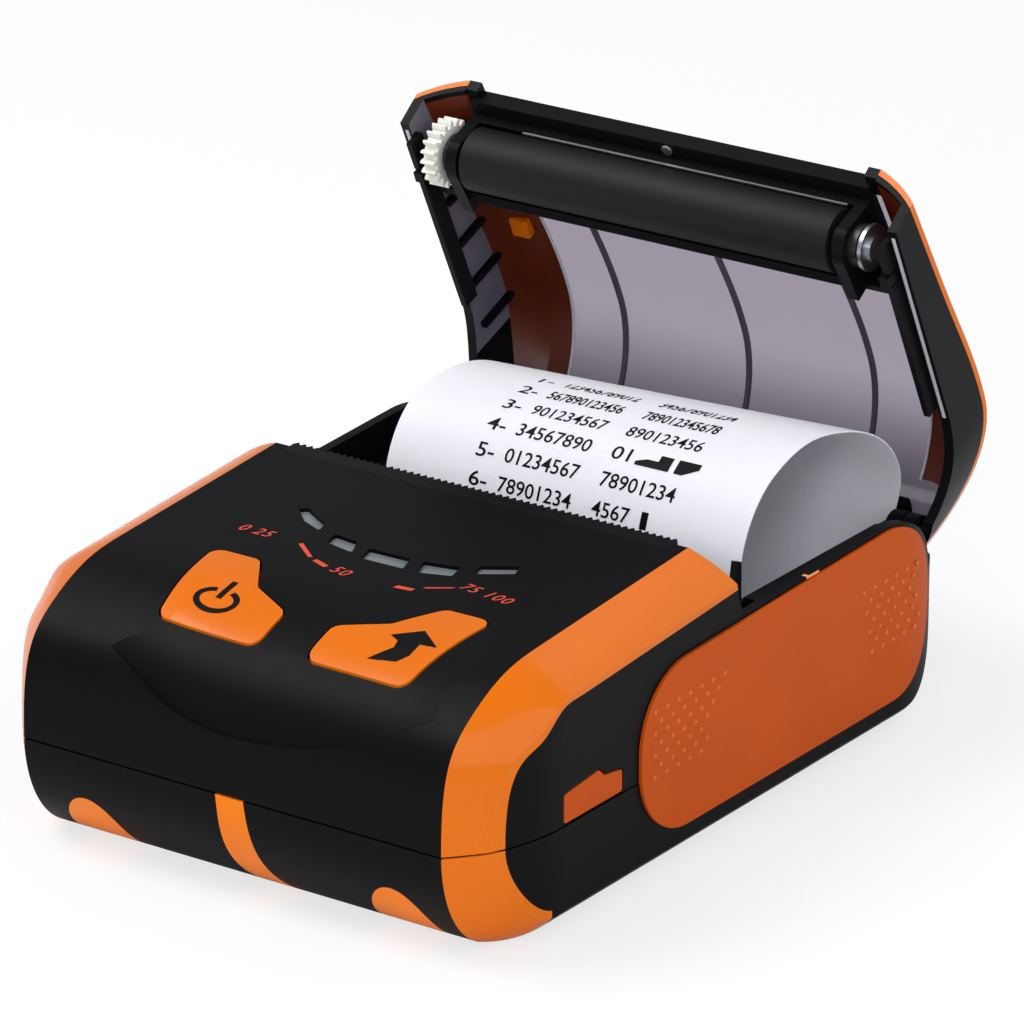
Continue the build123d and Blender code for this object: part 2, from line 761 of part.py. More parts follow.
with BuildPart() as top_shell:
    add(skin & block((-far, -far, parting_z), (far, far, far)))
    # Deck beside the paper compartment and posts that meet the lower shell
    for side in (-1, 1):
        deck_x = sorted((side * (cradle_wall_x + cradle_wall_thickness), side * side_x))
        add(block((deck_x[0], deck_front_y, cradle_wall_top_z),
                  (deck_x[1], deck_rear_y, cradle_wall_top_z + deck_thickness)) & inner_form)
        for y in case_screw_y:
            add(post(side * case_screw_x, y, case_post_radius, parting_z, cradle_wall_top_z) & inner_form)
    add(lid_free_zone, mode=Mode.SUBTRACT)
    # Hinge ears with their webs
    for side in (-1, 1):
        ear_x = sorted((side * ear_inner_x, side * ear_outer_x))
        add(hinge_disc(ear_radius, *ear_x))
        add(block((ear_x[0], ear_front_y, ear_low_z), (ear_x[1], ear_rear_y, hinge_z)))
        add(block((ear_x[0], ear_front_y, ear_low_z), (ear_x[1], ear_root_y, rear_wall_top_z - seam_gap)))
        add(hinge_disc(hinge_pin_radius + hinge_running_gap, *ear_x), mode=Mode.SUBTRACT)
    # Curved shield that closes the gap behind the lid
    with BuildSketch(Plane.YZ.offset(-shield_half_x)):
        with BuildLine():
            sweep = shield_high_angle - shield_low_angle
            outer = CenterArc((hinge_y, hinge_z), shield_inner_radius + shield_thickness,
                              shield_low_angle, sweep)
            inner = CenterArc((hinge_y, hinge_z), shield_inner_radius, shield_low_angle, sweep)
            Line(outer @ 0, inner @ 0)
            Line(outer @ 1, inner @ 1)
        make_face()
    extrude(amount=2 * shield_half_x)
    add(block((-shield_half_x, shield_foot_y[0], shield_foot_z),
              (shield_half_x, shield_foot_y[1], rear_wall_top_z)))
    add(block((-shield_half_x, shield_foot_y[0], shield_foot_z),
              (shield_half_x, shield_step_y, shield_step_z)))
    # Posts under the top panel that hold the button board
    for x in button_post_x:
        for y in button_post_y:
            add(post(x, y, post_radius, button_board_z + board_thickness, far) & inner_form)
    for x in (-case_screw_x, case_screw_x):
        for y in case_screw_y:
            add(post(x, y, shank_radius, parting_z, parting_z + case_screw_reach), mode=Mode.SUBTRACT)
    # Seats of the trims, side panels, tear bar and port cover
    add(upper_trims, mode=Mode.SUBTRACT)
    add(rear_trims, mode=Mode.SUBTRACT)
    add(panel_form, mode=Mode.SUBTRACT)
    add(dish.part, mode=Mode.SUBTRACT)
    add(block((-tear_half_width, -tear_bar_depth,
               tear_z - tear_bar_thickness - tear_slope * tear_bar_depth),
              (tear_half_width, step_y, far)), mode=Mode.SUBTRACT)
    add(side_prism(widened(cover_outline, moving_gap), side_x - cover_thickness - moving_gap, far),
        mode=Mode.SUBTRACT)
    add(block((side_x - 2 * wall, port_hole_y[0], port_hole_z[0]),
              (far, port_hole_y[1], port_hole_z[1])), mode=Mode.SUBTRACT)
    # Holes for the buttons and the light windows
    for outline in (power_outline, feed_outline):
        add(column(widened(outline, button_gap), switch_top_z, far), mode=Mode.SUBTRACT)
    for outline in led_outlines:
        add(column(outline, brow_z - 2 * wall, far), mode=Mode.SUBTRACT)
finish(top_shell, "top_shell")

for builder_name, form in (("upper_trim", upper_trims), ("lower_trim", lower_trims),
                           ("rear_trim", rear_trims)):
    for side_name, low_x, high_x in (("left", -far, 0), ("right", 0, far)):
        with BuildPart() as trim:
            add(side_share(form, low_x, high_x))
        finish(trim, f"{builder_name}_{side_name}")

with BuildPart() as front_stripe:
    add(stripe_form)
finish(front_stripe, "front_stripe")

for side_name, low_x, high_x in (("left", -far, 0), ("right", 0, far)):
    with BuildPart() as inlay:
        add(side_share(drop_form, low_x, high_x))
    finish(inlay, f"front_inlay_{side_name}")
    with BuildPart() as panel:
        add(side_share(panel_form, low_x, high_x))
    finish(panel, f"side_panel_{side_name}")

with BuildPart() as tear_bar:
    with BuildSketch(Plane.XY.offset(tear_z - tear_bar_thickness - tear_slope * tear_bar_depth)):
        points = [(-tear_half_width, -tear_bar_depth), (-tear_half_width, 0)]
        for tooth in range(round(2 * tear_half_width / tooth_pitch)):
            start = -tear_half_width + tooth * tooth_pitch
            points.append((start + tooth_pitch / 2, tooth_depth))
            points.append((min(start + tooth_pitch, tear_half_width), 0))
        points.append((tear_half_width, -tear_bar_depth))
        with BuildLine():
            Polyline(*points, close=True)
        make_face()
    extrude(amount=tear_bar_thickness + tear_slope * tear_bar_depth + rib_thickness)
    add(middle(0), mode=Mode.INTERSECT)
finish(tear_bar, "tear_bar")

with BuildPart() as battery_cover:
    add(block((-cover_half_x, cover_y[0], shell_bottom_z),
              (cover_half_x, cover_y[1], shell_bottom_z + cover_plate)))
    for x in (-cover_rib_x, cover_rib_x):
        add(block((x - rib_thickness / 2, battery_y - battery_size[1] / 2 + rib_thickness,
                   shell_bottom_z + cover_plate),
                  (x + rib_thickness / 2, battery_y + battery_size[1] / 2 - rib_thickness, battery_z)))
    for x in (-1, 1):
        for y in cover_screw_y:
            add(post(x * cover_screw_x, y, shank_radius + fit_gap, -fit_gap, battery_z), mode=Mode.SUBTRACT)
            add(post(x * cover_screw_x, y, cover_head_radius + fit_gap, -fit_gap,
                     shell_bottom_z + cover_head_depth), mode=Mode.SUBTRACT)
finish(battery_cover, "battery_cover")

with BuildPart() as cover_screws:
    for x in (-cover_screw_x, cover_screw_x):
        for y in cover_screw_y:
            add(post(x, y, cover_head_radius, shell_bottom_z + fit_gap, shell_bottom_z + cover_head_depth))
            add(post(x, y, shank_radius, shell_bottom_z + fit_gap, cover_screw_top_z - 2 * rib_thickness))
            add(block((x - cover_head_radius, y - slot_width / 2, 0),
                      (x + cover_head_radius, y + slot_width / 2, slot_top_z)),
                mode=Mode.SUBTRACT)
finish(cover_screws, "cover_screws")

with BuildPart() as case_screws:
    for x in (-case_screw_x, case_screw_x):
        for y in case_screw_y:
            add(post(x, y, head_radius, case_screw_seat_z - head_height, case_screw_seat_z))
            add(post(x, y, shank_radius, case_screw_seat_z - head_height, parting_z + case_screw_reach))
finish(case_screws, "case_screws")

with BuildPart() as rubber_feet:
    for x in (-1, 1):
        for y, foot_x in feet:
            add(post(x * foot_x, y, foot_radius, 0, foot_seat_z))
finish(rubber_feet, "rubber_feet")

# Lid, drawn closed and swung open at the end
hinge_notch = block((-lid_boss_inner_x, 0, 0), (lid_boss_inner_x, lid_wall_end_y + fit_gap, lid_end_z))
lid_skin = (skin & lid_shell_zone) - lid_bands - hinge_notch
with BuildSketch() as edge_strip:
    with BuildLine():
        Polyline(*front_joint(0), *reversed(front_joint(seam_gap + front_edge_width)), close=True)
    make_face()
front_bar_zone = (block((-crease_x, -far, rim_front_z), (crease_x, lid_front_bar_y, far))
                  + side_prism(edge_strip.sketch, -far, far))
rear_bar_zone = block((-far, lid_wall_end_y - lid_front_bar_y, lid_wall_low_z), (far, far, lid_rear_bar_z))
window_zone = column(plan_outline(wall), 0, far) - front_bar_zone - rear_bar_zone

with BuildPart() as lid_frame:
    add(lid_skin - window_zone)
    front_bar_low = (-lid_front_bar_half, lid_front_y, lid_front_bar_z)
    add(block(front_bar_low, (lid_front_bar_half, lid_front_bar_y, far)) & inner_form)
    for side in (-1, 1):
        boss_x = sorted((side * lid_boss_inner_x, side * lid_boss_outer_x))
        add(hinge_disc(ear_radius, *boss_x))
        add(hinge_disc(hinge_pin_radius, *boss_x), mode=Mode.SUBTRACT)
        # Upright ribs inside the side wall
        rib_x = sorted((side * (side_x - wall - rib_thickness), side * (side_x - wall)))
        for y in lid_rib_y:
            rib = block((rib_x[0], y - rib_thickness / 2, lid_rib_low_z),
                        (rib_x[1], y + rib_thickness / 2, far))
            add(rib & inner_form)
    add(lid_bands, mode=Mode.SUBTRACT)
finish_lid(lid_frame, "lid_frame")

# Lips under the lid's side walls that drop inside the body when it shuts
with BuildPart() as lid_lips:
    rim_slope = (rim_bend_z - rim_front_z) / (rim_bend_y - step_y)
    lip_inner_x = side_x - wall - moving_gap - rib_thickness
    for start_y, end_y in lip_y:
        for low_offset, outer_x in ((-lip_height, side_x - wall - moving_gap), (seam_gap, side_x - wall)):
            corners = [(y, rim_front_z + rim_slope * (y - step_y) + offset)
                       for y, offset in ((start_y, low_offset), (end_y, low_offset),
                                         (end_y, seam_gap + lip_overlap), (start_y,
                                                                           seam_gap + lip_overlap))]
            for side in (-1, 1):
                with BuildSketch(Plane.YZ.offset(side * lip_inner_x)):
                    with BuildLine():
                        Polyline(*corners, close=True)
                    make_face()
                extrude(amount=side * (outer_x - lip_inner_x))
finish_lid(lid_lips, "lid_lips")

with BuildPart() as lid_window:
    add(lid_skin & window_zone)
    rib_layer = middle(wall) - middle(wall + window_rib_height)
    rib_half = window_rib_thickness / 2
    for x in window_rib_x:
        rib = block((x - rib_half, holder_rear_y + fit_gap, rim_bend_z),
                    (x + rib_half, lid_wall_end_y, far))
        add((rib & rib_layer) - rear_bar_zone)
finish_lid(lid_window, "lid_window")

for side_name, low_x, high_x in (("left", -far, 0), ("right", 0, far)):
    with BuildPart() as lid_band:
        add(side_share(lid_bands, low_x, high_x) - hinge_notch)
    finish_lid(lid_band, f"lid_band_{side_name}")

with BuildPart() as platen_holder:
    with BuildSketch(Plane.YZ.offset(-bracket_outer_x)):
        with BuildLine():
            Polyline(*holder_corners, close=True)
        make_face()
        with Locations((roller_y, roller_z)):
            Circle(roller_radius + roller_clearance, mode=Mode.SUBTRACT)
    extrude(amount=2 * bracket_outer_x)
    add(middle(wall), mode=Mode.INTERSECT)
    for side in (-1, 1):
        with BuildSketch(Plane.YZ.offset(side * bracket_inner_x)):
            with Locations((roller_y, roller_z)):
                Circle(bracket_radius)
                with Locations((0, roller_radius)):
                    Rectangle(2 * bracket_radius, 2 * roller_radius)
            with BuildLine():
                Polyline(*hook_corners, close=True)
            make_face()
            with Locations((roller_y, roller_z)):
                Circle(bush_radius, mode=Mode.SUBTRACT)
        extrude(amount=side * (bracket_outer_x - bracket_inner_x))
    add(block((-far, lid_front_y, -far), (far, lid_front_bar_y, far)), mode=Mode.SUBTRACT)
    add(middle(wall), mode=Mode.INTERSECT)
finish_lid(platen_holder, "platen_holder")

with BuildPart() as holder_webs:
    for side in (-1, 1):
        web_x = sorted((side * bracket_outer_x, side * web_outer_x))
        add(block((web_x[0], web_y[0], web_low_z), (web_x[1], web_y[1], web_high_z)) & inner_form)
        # Knob on the side wall that guides the lid into the body
        for outer_x, low_z, high_z in ((side_x - wall - moving_gap, knob_low_z, knob_step_z),
                                       (side_x - wall, knob_step_z, knob_high_z)):
            knob_x = sorted((side * knob_inner_x, side * outer_x))
            add(block((knob_x[0], knob_y[0], low_z), (knob_x[1], knob_y[1], high_z)))
finish_lid(holder_webs, "holder_webs")

with BuildPart() as platen_bushes:
    for side in (-1, 1):
        bush_x = sorted((side * bush_inner_x, side * bush_outer_x))
        add(rod(roller_y, roller_z, bush_radius, *bush_x))
    add(rod(roller_y, roller_z, shaft_radius + hinge_running_gap, -far, far), mode=Mode.SUBTRACT)
finish_lid(platen_bushes, "platen_bushes")

with BuildPart() as hinge_pins:
    for side in (-1, 1):
        add(hinge_disc(hinge_pin_radius, *sorted((side * hinge_pin_inner_x, side * lid_boss_outer_x))))
finish_lid(hinge_pins, "hinge_pins")

with BuildPart() as platen_shaft:
    add(rod(roller_y, roller_z, shaft_radius, shaft_left_x, shaft_right_x))
finish_lid(platen_shaft, "platen_shaft")

with BuildPart() as platen_rubber:
    add(rod(roller_y, roller_z, roller_radius, -roller_length / 2, roller_length / 2))
    add(rod(roller_y, roller_z, shaft_radius, -far, far), mode=Mode.SUBTRACT)
finish_lid(platen_rubber, "platen_rubber")

with BuildPart() as platen_gear:
    add(gear(platen_teeth, entry_angle + 180 / platen_teeth, roller_y, roller_z, shaft_radius))
finish_lid(platen_gear, "platen_gear")

with BuildPart() as platen_ring:
    add(rod(roller_y, roller_z, ring_radius, ring_x, ring_x + ring_thickness))
    add(rod(roller_y, roller_z, shaft_radius, -far, far), mode=Mode.SUBTRACT)
finish_lid(platen_ring, "platen_ring")

with BuildPart() as head_bracket:
    for side in (-1, 1):
        with BuildSketch(Plane.YZ.offset(side * cheek_inner_x)):
            with BuildLine():
                Polyline(*frame_cheek_corners, close=True)
            make_face()
            with Locations((roller_y, roller_z)):
                Circle(bush_radius + moving_gap, mode=Mode.SUBTRACT)
            with Locations(Location((roller_y, roller_z), entry_angle - 180)):
                with Locations((far / 2, 0)):
                    Rectangle(far, 2 * (bush_radius + moving_gap), mode=Mode.SUBTRACT)
            if side < 0:
                with Locations((pinion_y, pinion_z)):
                    Circle(motor_boss_radius, mode=Mode.SUBTRACT)
        extrude(amount=side * cheek_thickness)
    add(block((-cheek_inner_x, frame_cheek_y[0], frame_foot_z),
              (cheek_inner_x, frame_cheek_y[1], frame_foot_z + cheek_thickness)))
    add(block((-cheek_inner_x, frame_back_y, frame_back_low_z),
              (cheek_inner_x, frame_back_y + cheek_thickness, frame_back_high_z)))
finish(head_bracket, "head_bracket")

with BuildPart() as print_head:
    add(block((-head_half_width, head_face_y - ceramic_thickness - heat_sink_thickness, head_low_z),
              (head_half_width, head_face_y - ceramic_thickness, head_high_z)))
    add(block((-head_half_width, head_face_y - ceramic_thickness, ceramic_low_z),
              (head_half_width, head_face_y, head_high_z - rib_thickness)))
    add(block((-cheek_inner_x, head_face_y - ceramic_thickness - heat_sink_thickness, lug_low_z),
              (cheek_inner_x, head_face_y - ceramic_thickness, lug_low_z + 2 * rib_thickness)))
finish(print_head, "print_head")

with BuildPart() as head_springs:
    spring_start = frame_back_y + cheek_thickness
    spring_end = head_face_y - ceramic_thickness - heat_sink_thickness
    for x in spring_x:
        with Locations(Location((x, (spring_start + spring_end) / 2, spring_z), (90, 0, 0))):
            Cylinder(spring_core_radius, spring_end - spring_start)
        for turn in range(spring_turns):
            turn_y = spring_start + (spring_end - spring_start) * (turn + 0.5) / spring_turns
            with Locations(Location((x, turn_y, spring_z), (90, 0, 0))):
                Torus(spring_radius, spring_wire)
finish(head_springs, "head_springs")

with BuildPart() as stepper_motor:
    add(rod(pinion_y, pinion_z, motor_radius, -cheek_inner_x, -cheek_inner_x + motor_length))
    add(rod(pinion_y, pinion_z, motor_boss_radius, -cheek_inner_x - cheek_thickness, -cheek_inner_x))
    add(rod(pinion_y, pinion_z, motor_shaft_radius + hinge_running_gap, -far,
            -cheek_inner_x + motor_shaft_depth), mode=Mode.SUBTRACT)
finish(stepper_motor, "stepper_motor")

with BuildPart() as motor_pinion:
    add(gear(pinion_teeth, pinion_angle - 180, pinion_y, pinion_z, motor_shaft_radius / 2))
    add(rod(pinion_y, pinion_z, motor_shaft_radius, -gear_inner_x - gear_width,
            -cheek_inner_x + motor_shaft_depth - moving_gap))
finish(motor_pinion, "motor_pinion")

with BuildPart() as drive_gear:
    add(gear(drive_teeth, drive_tooth_angle, drive_y, drive_z, gear_pin_radius + hinge_running_gap))
finish(drive_gear, "drive_gear")

with BuildPart() as gear_post:
    cheek_outer_x = cheek_inner_x + cheek_thickness
    pin_end_x = gear_inner_x + gear_width + moving_gap
    add(rod(drive_y, drive_z, gear_pin_radius, -pin_end_x, -cheek_outer_x))
    add(rod(drive_y, drive_z, gear_pin_head_radius, -pin_end_x - gear_pin_head, -pin_end_x))
    add(rod(drive_y, drive_z, gear_pin_head_radius, -gear_inner_x + moving_gap, -cheek_outer_x))
finish(gear_post, "gear_post")

with BuildPart() as main_board:
    add(block((-main_board_left, main_board_y[0], main_board_z),
              (main_board_right, main_board_y[1], main_board_z + board_thickness)))
finish(main_board, "main_board")

with BuildPart() as board_parts:
    for x, y, width, depth, height in chips:
        top_of_board = main_board_z + board_thickness
        add(block((x - width / 2, y - depth / 2, top_of_board),
                  (x + width / 2, y + depth / 2, top_of_board + height)))
finish(board_parts, "board_parts")

with BuildPart() as button_board:
    add(block((button_board_x[0], button_board_y[0], button_board_z),
              (button_board_x[1], button_board_y[1], button_board_z + board_thickness)))
finish(button_board, "button_board")

switch_base_z = button_board_z + board_thickness
with BuildPart() as tact_switches:
    for x in (power_switch_x, feed_switch_x):
        add(block((x - switch_size / 2, switch_y - switch_size / 2, switch_base_z),
                  (x + switch_size / 2, switch_y + switch_size / 2, switch_base_z + switch_height)))
        add(post(x, switch_y, plunger_radius, switch_base_z + switch_height,
                 switch_base_z + switch_height + plunger_height))
finish(tact_switches, "tact_switches")

led_middles = [(sum(x for x, _ in corners) / len(corners),
                sum(y for _, y in corners) / len(corners)) for corners in led_corners]
with BuildPart() as status_leds:
    for x, y in led_middles:
        add(block((x - led_size / 2, y - led_size / 2, switch_base_z),
                  (x + led_size / 2, y + led_size / 2, switch_base_z + led_height)))
finish(status_leds, "status_leds")

for number, (outline, (x, y)) in enumerate(zip(led_outlines, led_middles), start=1):
    with BuildPart() as led_window:
        add(column(outline, brow_z - 2 * wall, far) & (middle(led_recess) - middle(wall)))
        add(block((x - led_size / 2, y - led_size / 2, switch_base_z + led_height + moving_gap),
                  (x + led_size / 2, y + led_size / 2, far))
            & middle(wall))
    finish(led_window, f"led_window_{number}")

stem_low_z = switch_base_z + switch_height + plunger_height + button_travel + moving_gap
for label, outline, x in (("power_button", power_outline, power_switch_x),
                          ("feed_button", feed_outline, feed_switch_x)):
    with BuildPart() as button:
        raised_dish = dish.part.moved(Location((0, -button_proud, button_proud)))
        add(column(outline, switch_base_z,
                   far) & (middle(-button_proud) - middle(wall + moving_gap + flange_thickness)))
        add(raised_dish, mode=Mode.SUBTRACT)
        add(column(widened(outline, flange_width), switch_base_z, far)
            & (middle(wall + moving_gap) - middle(wall + moving_gap + flange_thickness)))
        add(post(x, switch_y, stem_radius, stem_low_z, far) & middle(wall + moving_gap))
    finish(button, label)

with BuildPart() as usb_cover:
    add(side_prism(cover_outline, 0, far) & cover_layer)
finish(usb_cover, "usb_cover")

port_base_z = main_board_z + board_thickness
for label, port_y, port_height, slot_height in (("usb_port", usb_y, usb_height, usb_slot),
                                                ("dc_jack", jack_y, jack_height, jack_slot)):
    with BuildPart() as port:
        add(block((main_board_right - port_length, port_y[0], port_base_z),
                  (port_face_x, port_y[1], port_base_z + port_height)))
        slot_y = (port_y[0] + port_wall, port_y[1] - port_wall)
        slot_z = port_base_z + (port_height - slot_height) / 2
        add(block((port_face_x - port_length / 2, slot_y[0], slot_z),
                  (far, slot_y[1], slot_z + slot_height)), mode=Mode.SUBTRACT)
    finish(port, label)

with BuildPart() as battery_pack:
    with Locations((0, battery_y, battery_z + battery_size[2] / 2)):
        Box(*battery_size)
    fillet(battery_pack.edges().filter_by(Axis.X), battery_corner)
finish(battery_pack, "battery_pack")

with BuildPart() as battery_contacts:
    contact_front_y = battery_y + battery_size[1] / 2
    for x in contact_x:
        add(block((x - contact_half, contact_front_y, contact_low_z),
                  (x + contact_half, contact_wall_y, contact_high_z)))
finish(battery_contacts, "battery_contacts")

with BuildPart() as paper_sensor:
    add(block((sensor_x[0], sensor_y[0], frame_foot_z + cheek_thickness),
              (sensor_x[1], sensor_y[1], sensor_top_z)))
    lens_low = (sensor_x[0] + sensor_border, sensor_y[0] + sensor_border, sensor_top_z)
    add(block(lens_low,
              (sensor_x[1] - sensor_border, sensor_y[1] - sensor_border, sensor_top_z + sensor_border)))
finish(paper_sensor, "paper_sensor")

with BuildPart() as roll_cradle:
    outer_radius = roll_radius + cradle_gap + cradle_thickness
    end_x = cradle_wall_x + cradle_wall_thickness
    add(rod(roll_y, roll_z, outer_radius, -end_x, end_x))
    add(rod(roll_y, roll_z, outer_radius - cradle_thickness, -cradle_wall_x, cradle_wall_x),
        mode=Mode.SUBTRACT)
    add(block((-far, -far, cradle_wall_top_z), (far, far, far)), mode=Mode.SUBTRACT)
    add(block((-cradle_wall_x, roll_y, cradle_rear_top_z), (cradle_wall_x, far, far)), mode=Mode.SUBTRACT)
    add(block((-far, cradle_wall_rear_y, cradle_rear_top_z), (far, far, far)), mode=Mode.SUBTRACT)
finish(roll_cradle, "roll_cradle")


def paper_edge(side, path):
    """Places along one edge of the paper."""
    return [(side * paper_width / 2 + lean, y, z) for lean, y, z in path]


with BuildLine() as right_edge:
    Spline(*paper_edge(1, paper_right))
with BuildLine() as left_edge:
    Spline(*paper_edge(-1, paper_left))
paper_face = Face.make_surface_from_curves(right_edge.edge(), left_edge.edge())
with BuildPart() as receipt_paper:
    thicken(paper_face, amount=paper_thickness)
finish(receipt_paper, "receipt_paper")
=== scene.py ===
import json
import math

import bmesh
import bpy
from mathutils import Matrix, Vector
from mathutils.bvhtree import BVHTree


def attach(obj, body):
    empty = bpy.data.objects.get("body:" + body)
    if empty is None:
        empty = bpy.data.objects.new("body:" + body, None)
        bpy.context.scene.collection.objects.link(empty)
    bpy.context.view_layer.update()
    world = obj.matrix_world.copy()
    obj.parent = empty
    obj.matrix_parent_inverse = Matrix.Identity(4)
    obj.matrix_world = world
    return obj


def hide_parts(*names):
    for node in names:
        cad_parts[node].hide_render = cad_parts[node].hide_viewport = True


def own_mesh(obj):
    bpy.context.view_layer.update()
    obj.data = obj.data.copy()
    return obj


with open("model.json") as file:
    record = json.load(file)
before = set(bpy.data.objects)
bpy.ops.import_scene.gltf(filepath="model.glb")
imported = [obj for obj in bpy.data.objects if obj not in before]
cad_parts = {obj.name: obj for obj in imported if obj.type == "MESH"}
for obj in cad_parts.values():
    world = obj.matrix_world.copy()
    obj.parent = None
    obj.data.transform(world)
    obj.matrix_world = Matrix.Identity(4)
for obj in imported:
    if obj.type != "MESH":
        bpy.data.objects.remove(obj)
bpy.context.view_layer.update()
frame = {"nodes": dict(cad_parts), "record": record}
nodes = frame["nodes"]
MM = 0.001

# Camera that matches the photograph
CAMERA_PLACE = Vector((684.6, -964.4, 511.8)) * MM
CAMERA_AZIMUTH = math.radians(35.112)
CAMERA_ELEVATION = math.radians(21.367)
SENSOR_WIDTH = 36.0
FOCAL_PIXELS = 7110.7
IMAGE_PIXELS = 1024.0

# Hinge of the lid and how far it stands open
HINGE = Vector((0.0, 69.5, 33.5)) * MM
LID_OPEN = math.radians(-67.0)
LID_SWING = Matrix.Translation(HINGE) @ Matrix.Rotation(LID_OPEN, 4, "X") @ Matrix.Translation(-HINGE)

# Places across the lid: creases of the orange bands, inner edge of the brown where the bands show through
# the window with painted shade, inner face of the side walls, and the ribs of the window
CREASE_X = 45.0
SHADED_BAND_EDGE_X = 40.2
WALL_INNER_X = 52.4
WALL_INNER_SPREAD = 0.3
WINDOW_RIB_X = (-28.0, 0.0, 28.0)
WINDOW_RIB_HALF = 0.45
NEAR = 0.01

# Materials
MATERIALS = {}
FINE_GRAIN = 0.02 * MM
COARSE_GRAIN = 0.03 * MM


def linear(red, green, blue):
    """Scene colour of an sRGB colour in steps of 255."""
    result = []
    for value in (red, green, blue):
        share = value / 255.0
        result.append(share / 12.92 if share <= 0.04045 else ((share + 0.055) / 1.055) ** 2.4)
    return (*result, 1.0)


def new_material(name):
    """Material with one principled shader, entered in MATERIALS under its name."""
    material = bpy.data.materials.new(name)
    material.use_nodes = True
    tree = material.node_tree
    tree.nodes.clear()
    output = tree.nodes.new("ShaderNodeOutputMaterial")
    shader = tree.nodes.new("ShaderNodeBsdfPrincipled")
    tree.links.new(shader.outputs["BSDF"], output.inputs["Surface"])
    MATERIALS[name] = material
    return tree, shader


def set_inputs(node, values):
    for name, value in values.items():
        node.inputs[name].default_value = value


def noise(tree, scale, detail=3.0):
    place = tree.nodes.new("ShaderNodeTexCoord")
    texture = tree.nodes.new("ShaderNodeTexNoise")
    set_inputs(texture, {"Scale": scale, "Detail": detail})
    tree.links.new(place.outputs["Object"], texture.inputs["Vector"])
    return texture.outputs["Fac"]


def vary_colour(tree, shader, colour, amount, scale):
    """Base colour that drifts a little lighter and darker over the surface."""
    ramp = tree.nodes.new("ShaderNodeValToRGB")
    low, high = ramp.color_ramp.elements
    low.position = 0.3
    low.color = (*(value * (1 - amount) for value in colour[:3]), 1)
    high.position = 0.7
    high.color = (*(min(1.0, value * (1 + amount)) for value in colour[:3]), 1)
    tree.links.new(noise(tree, scale), ramp.inputs["Fac"])
    tree.links.new(ramp.outputs["Color"], shader.inputs["Base Color"])


def vary_roughness(tree, shader, low, high, scale):
    spread = tree.nodes.new("ShaderNodeMapRange")
    set_inputs(spread, {"To Min": low, "To Max": high})
    tree.links.new(noise(tree, scale), spread.inputs["Value"])
    tree.links.new(spread.outputs["Result"], shader.inputs["Roughness"])


def add_bump(tree, shader, scale, depth):
    bump = tree.nodes.new("ShaderNodeBump")
    set_inputs(bump, {"Strength": 0.35, "Distance": depth})
    tree.links.new(noise(tree, scale, detail=2.0), bump.inputs["Height"])
    tree.links.new(bump.outputs["Normal"], shader.inputs["Normal"])


def plastic(name, colour, roughness, grain=0.0, coat=0.0, drift=0.06, shine=0.5):
    """Moulded plastic or print; grain is the depth of its fine texture."""
    tree, shader = new_material(name)
    vary_colour(tree, shader, linear(*colour), amount=drift, scale=60.0)
    vary_roughness(tree, shader, roughness - 0.03, roughness + 0.04, scale=90.0)
    if grain:
        add_bump(tree, shader, scale=2600.0, depth=grain)
    set_inputs(shader, {"Specular IOR Level": shine, "Coat Weight": coat, "Coat Roughness": 0.12})


def metal(name, colour, roughness):
    tree, shader = new_material(name)
    vary_colour(tree, shader, linear(*colour), amount=0.08, scale=120.0)
    vary_roughness(tree, shader, roughness - 0.05, roughness + 0.08, scale=300.0)
    add_bump(tree, shader, scale=900.0, depth=FINE_GRAIN)
    set_inputs(shader, {"Metallic": 1.0})


def smoky(name, colour, low_colour, low, high, roughness):
    """Tinted clear plastic that is darker towards the hinge, between two heights in metres."""
    tree, shader = new_material(name)
    place = tree.nodes.new("ShaderNodeTexCoord")
    parts = tree.nodes.new("ShaderNodeSeparateXYZ")
    tree.links.new(place.outputs["Object"], parts.inputs["Vector"])
    ramp = tree.nodes.new("ShaderNodeMapRange")
    ramp.interpolation_type = "SMOOTHSTEP"
    set_inputs(ramp, {"From Min": low, "From Max": high})
    tree.links.new(parts.outputs["Z"], ramp.inputs["Value"])
    tint = tree.nodes.new("ShaderNodeValToRGB")
    tint.color_ramp.elements[0].color = linear(*low_colour)
    tint.color_ramp.elements[1].color = linear(*colour)
    tree.links.new(ramp.outputs["Result"], tint.inputs["Fac"])
    tree.links.new(tint.outputs["Color"], shader.inputs["Base Color"])
    vary_roughness(tree, shader, roughness - 0.02, roughness + 0.03, scale=40.0)
    set_inputs(shader, {"Transmission Weight": 0.92, "IOR": 1.2})


def paper_like(name, colour):
    """Thin paper: matt, and some light comes through it."""
    tree, shader = new_material(name)
    vary_colour(tree, shader, linear(*colour), amount=0.012, scale=700.0)
    vary_roughness(tree, shader, 0.52, 0.6, scale=90.0)
    add_bump(tree, shader, scale=900.0, depth=0.01 * MM)
    set_inputs(shader, {
        "Specular IOR Level": 0.2,
        "Subsurface Weight": 0.7,
        "Subsurface Radius": (1.0, 1.0, 1.0),
        "Subsurface Scale": 0.8 * MM,
    })


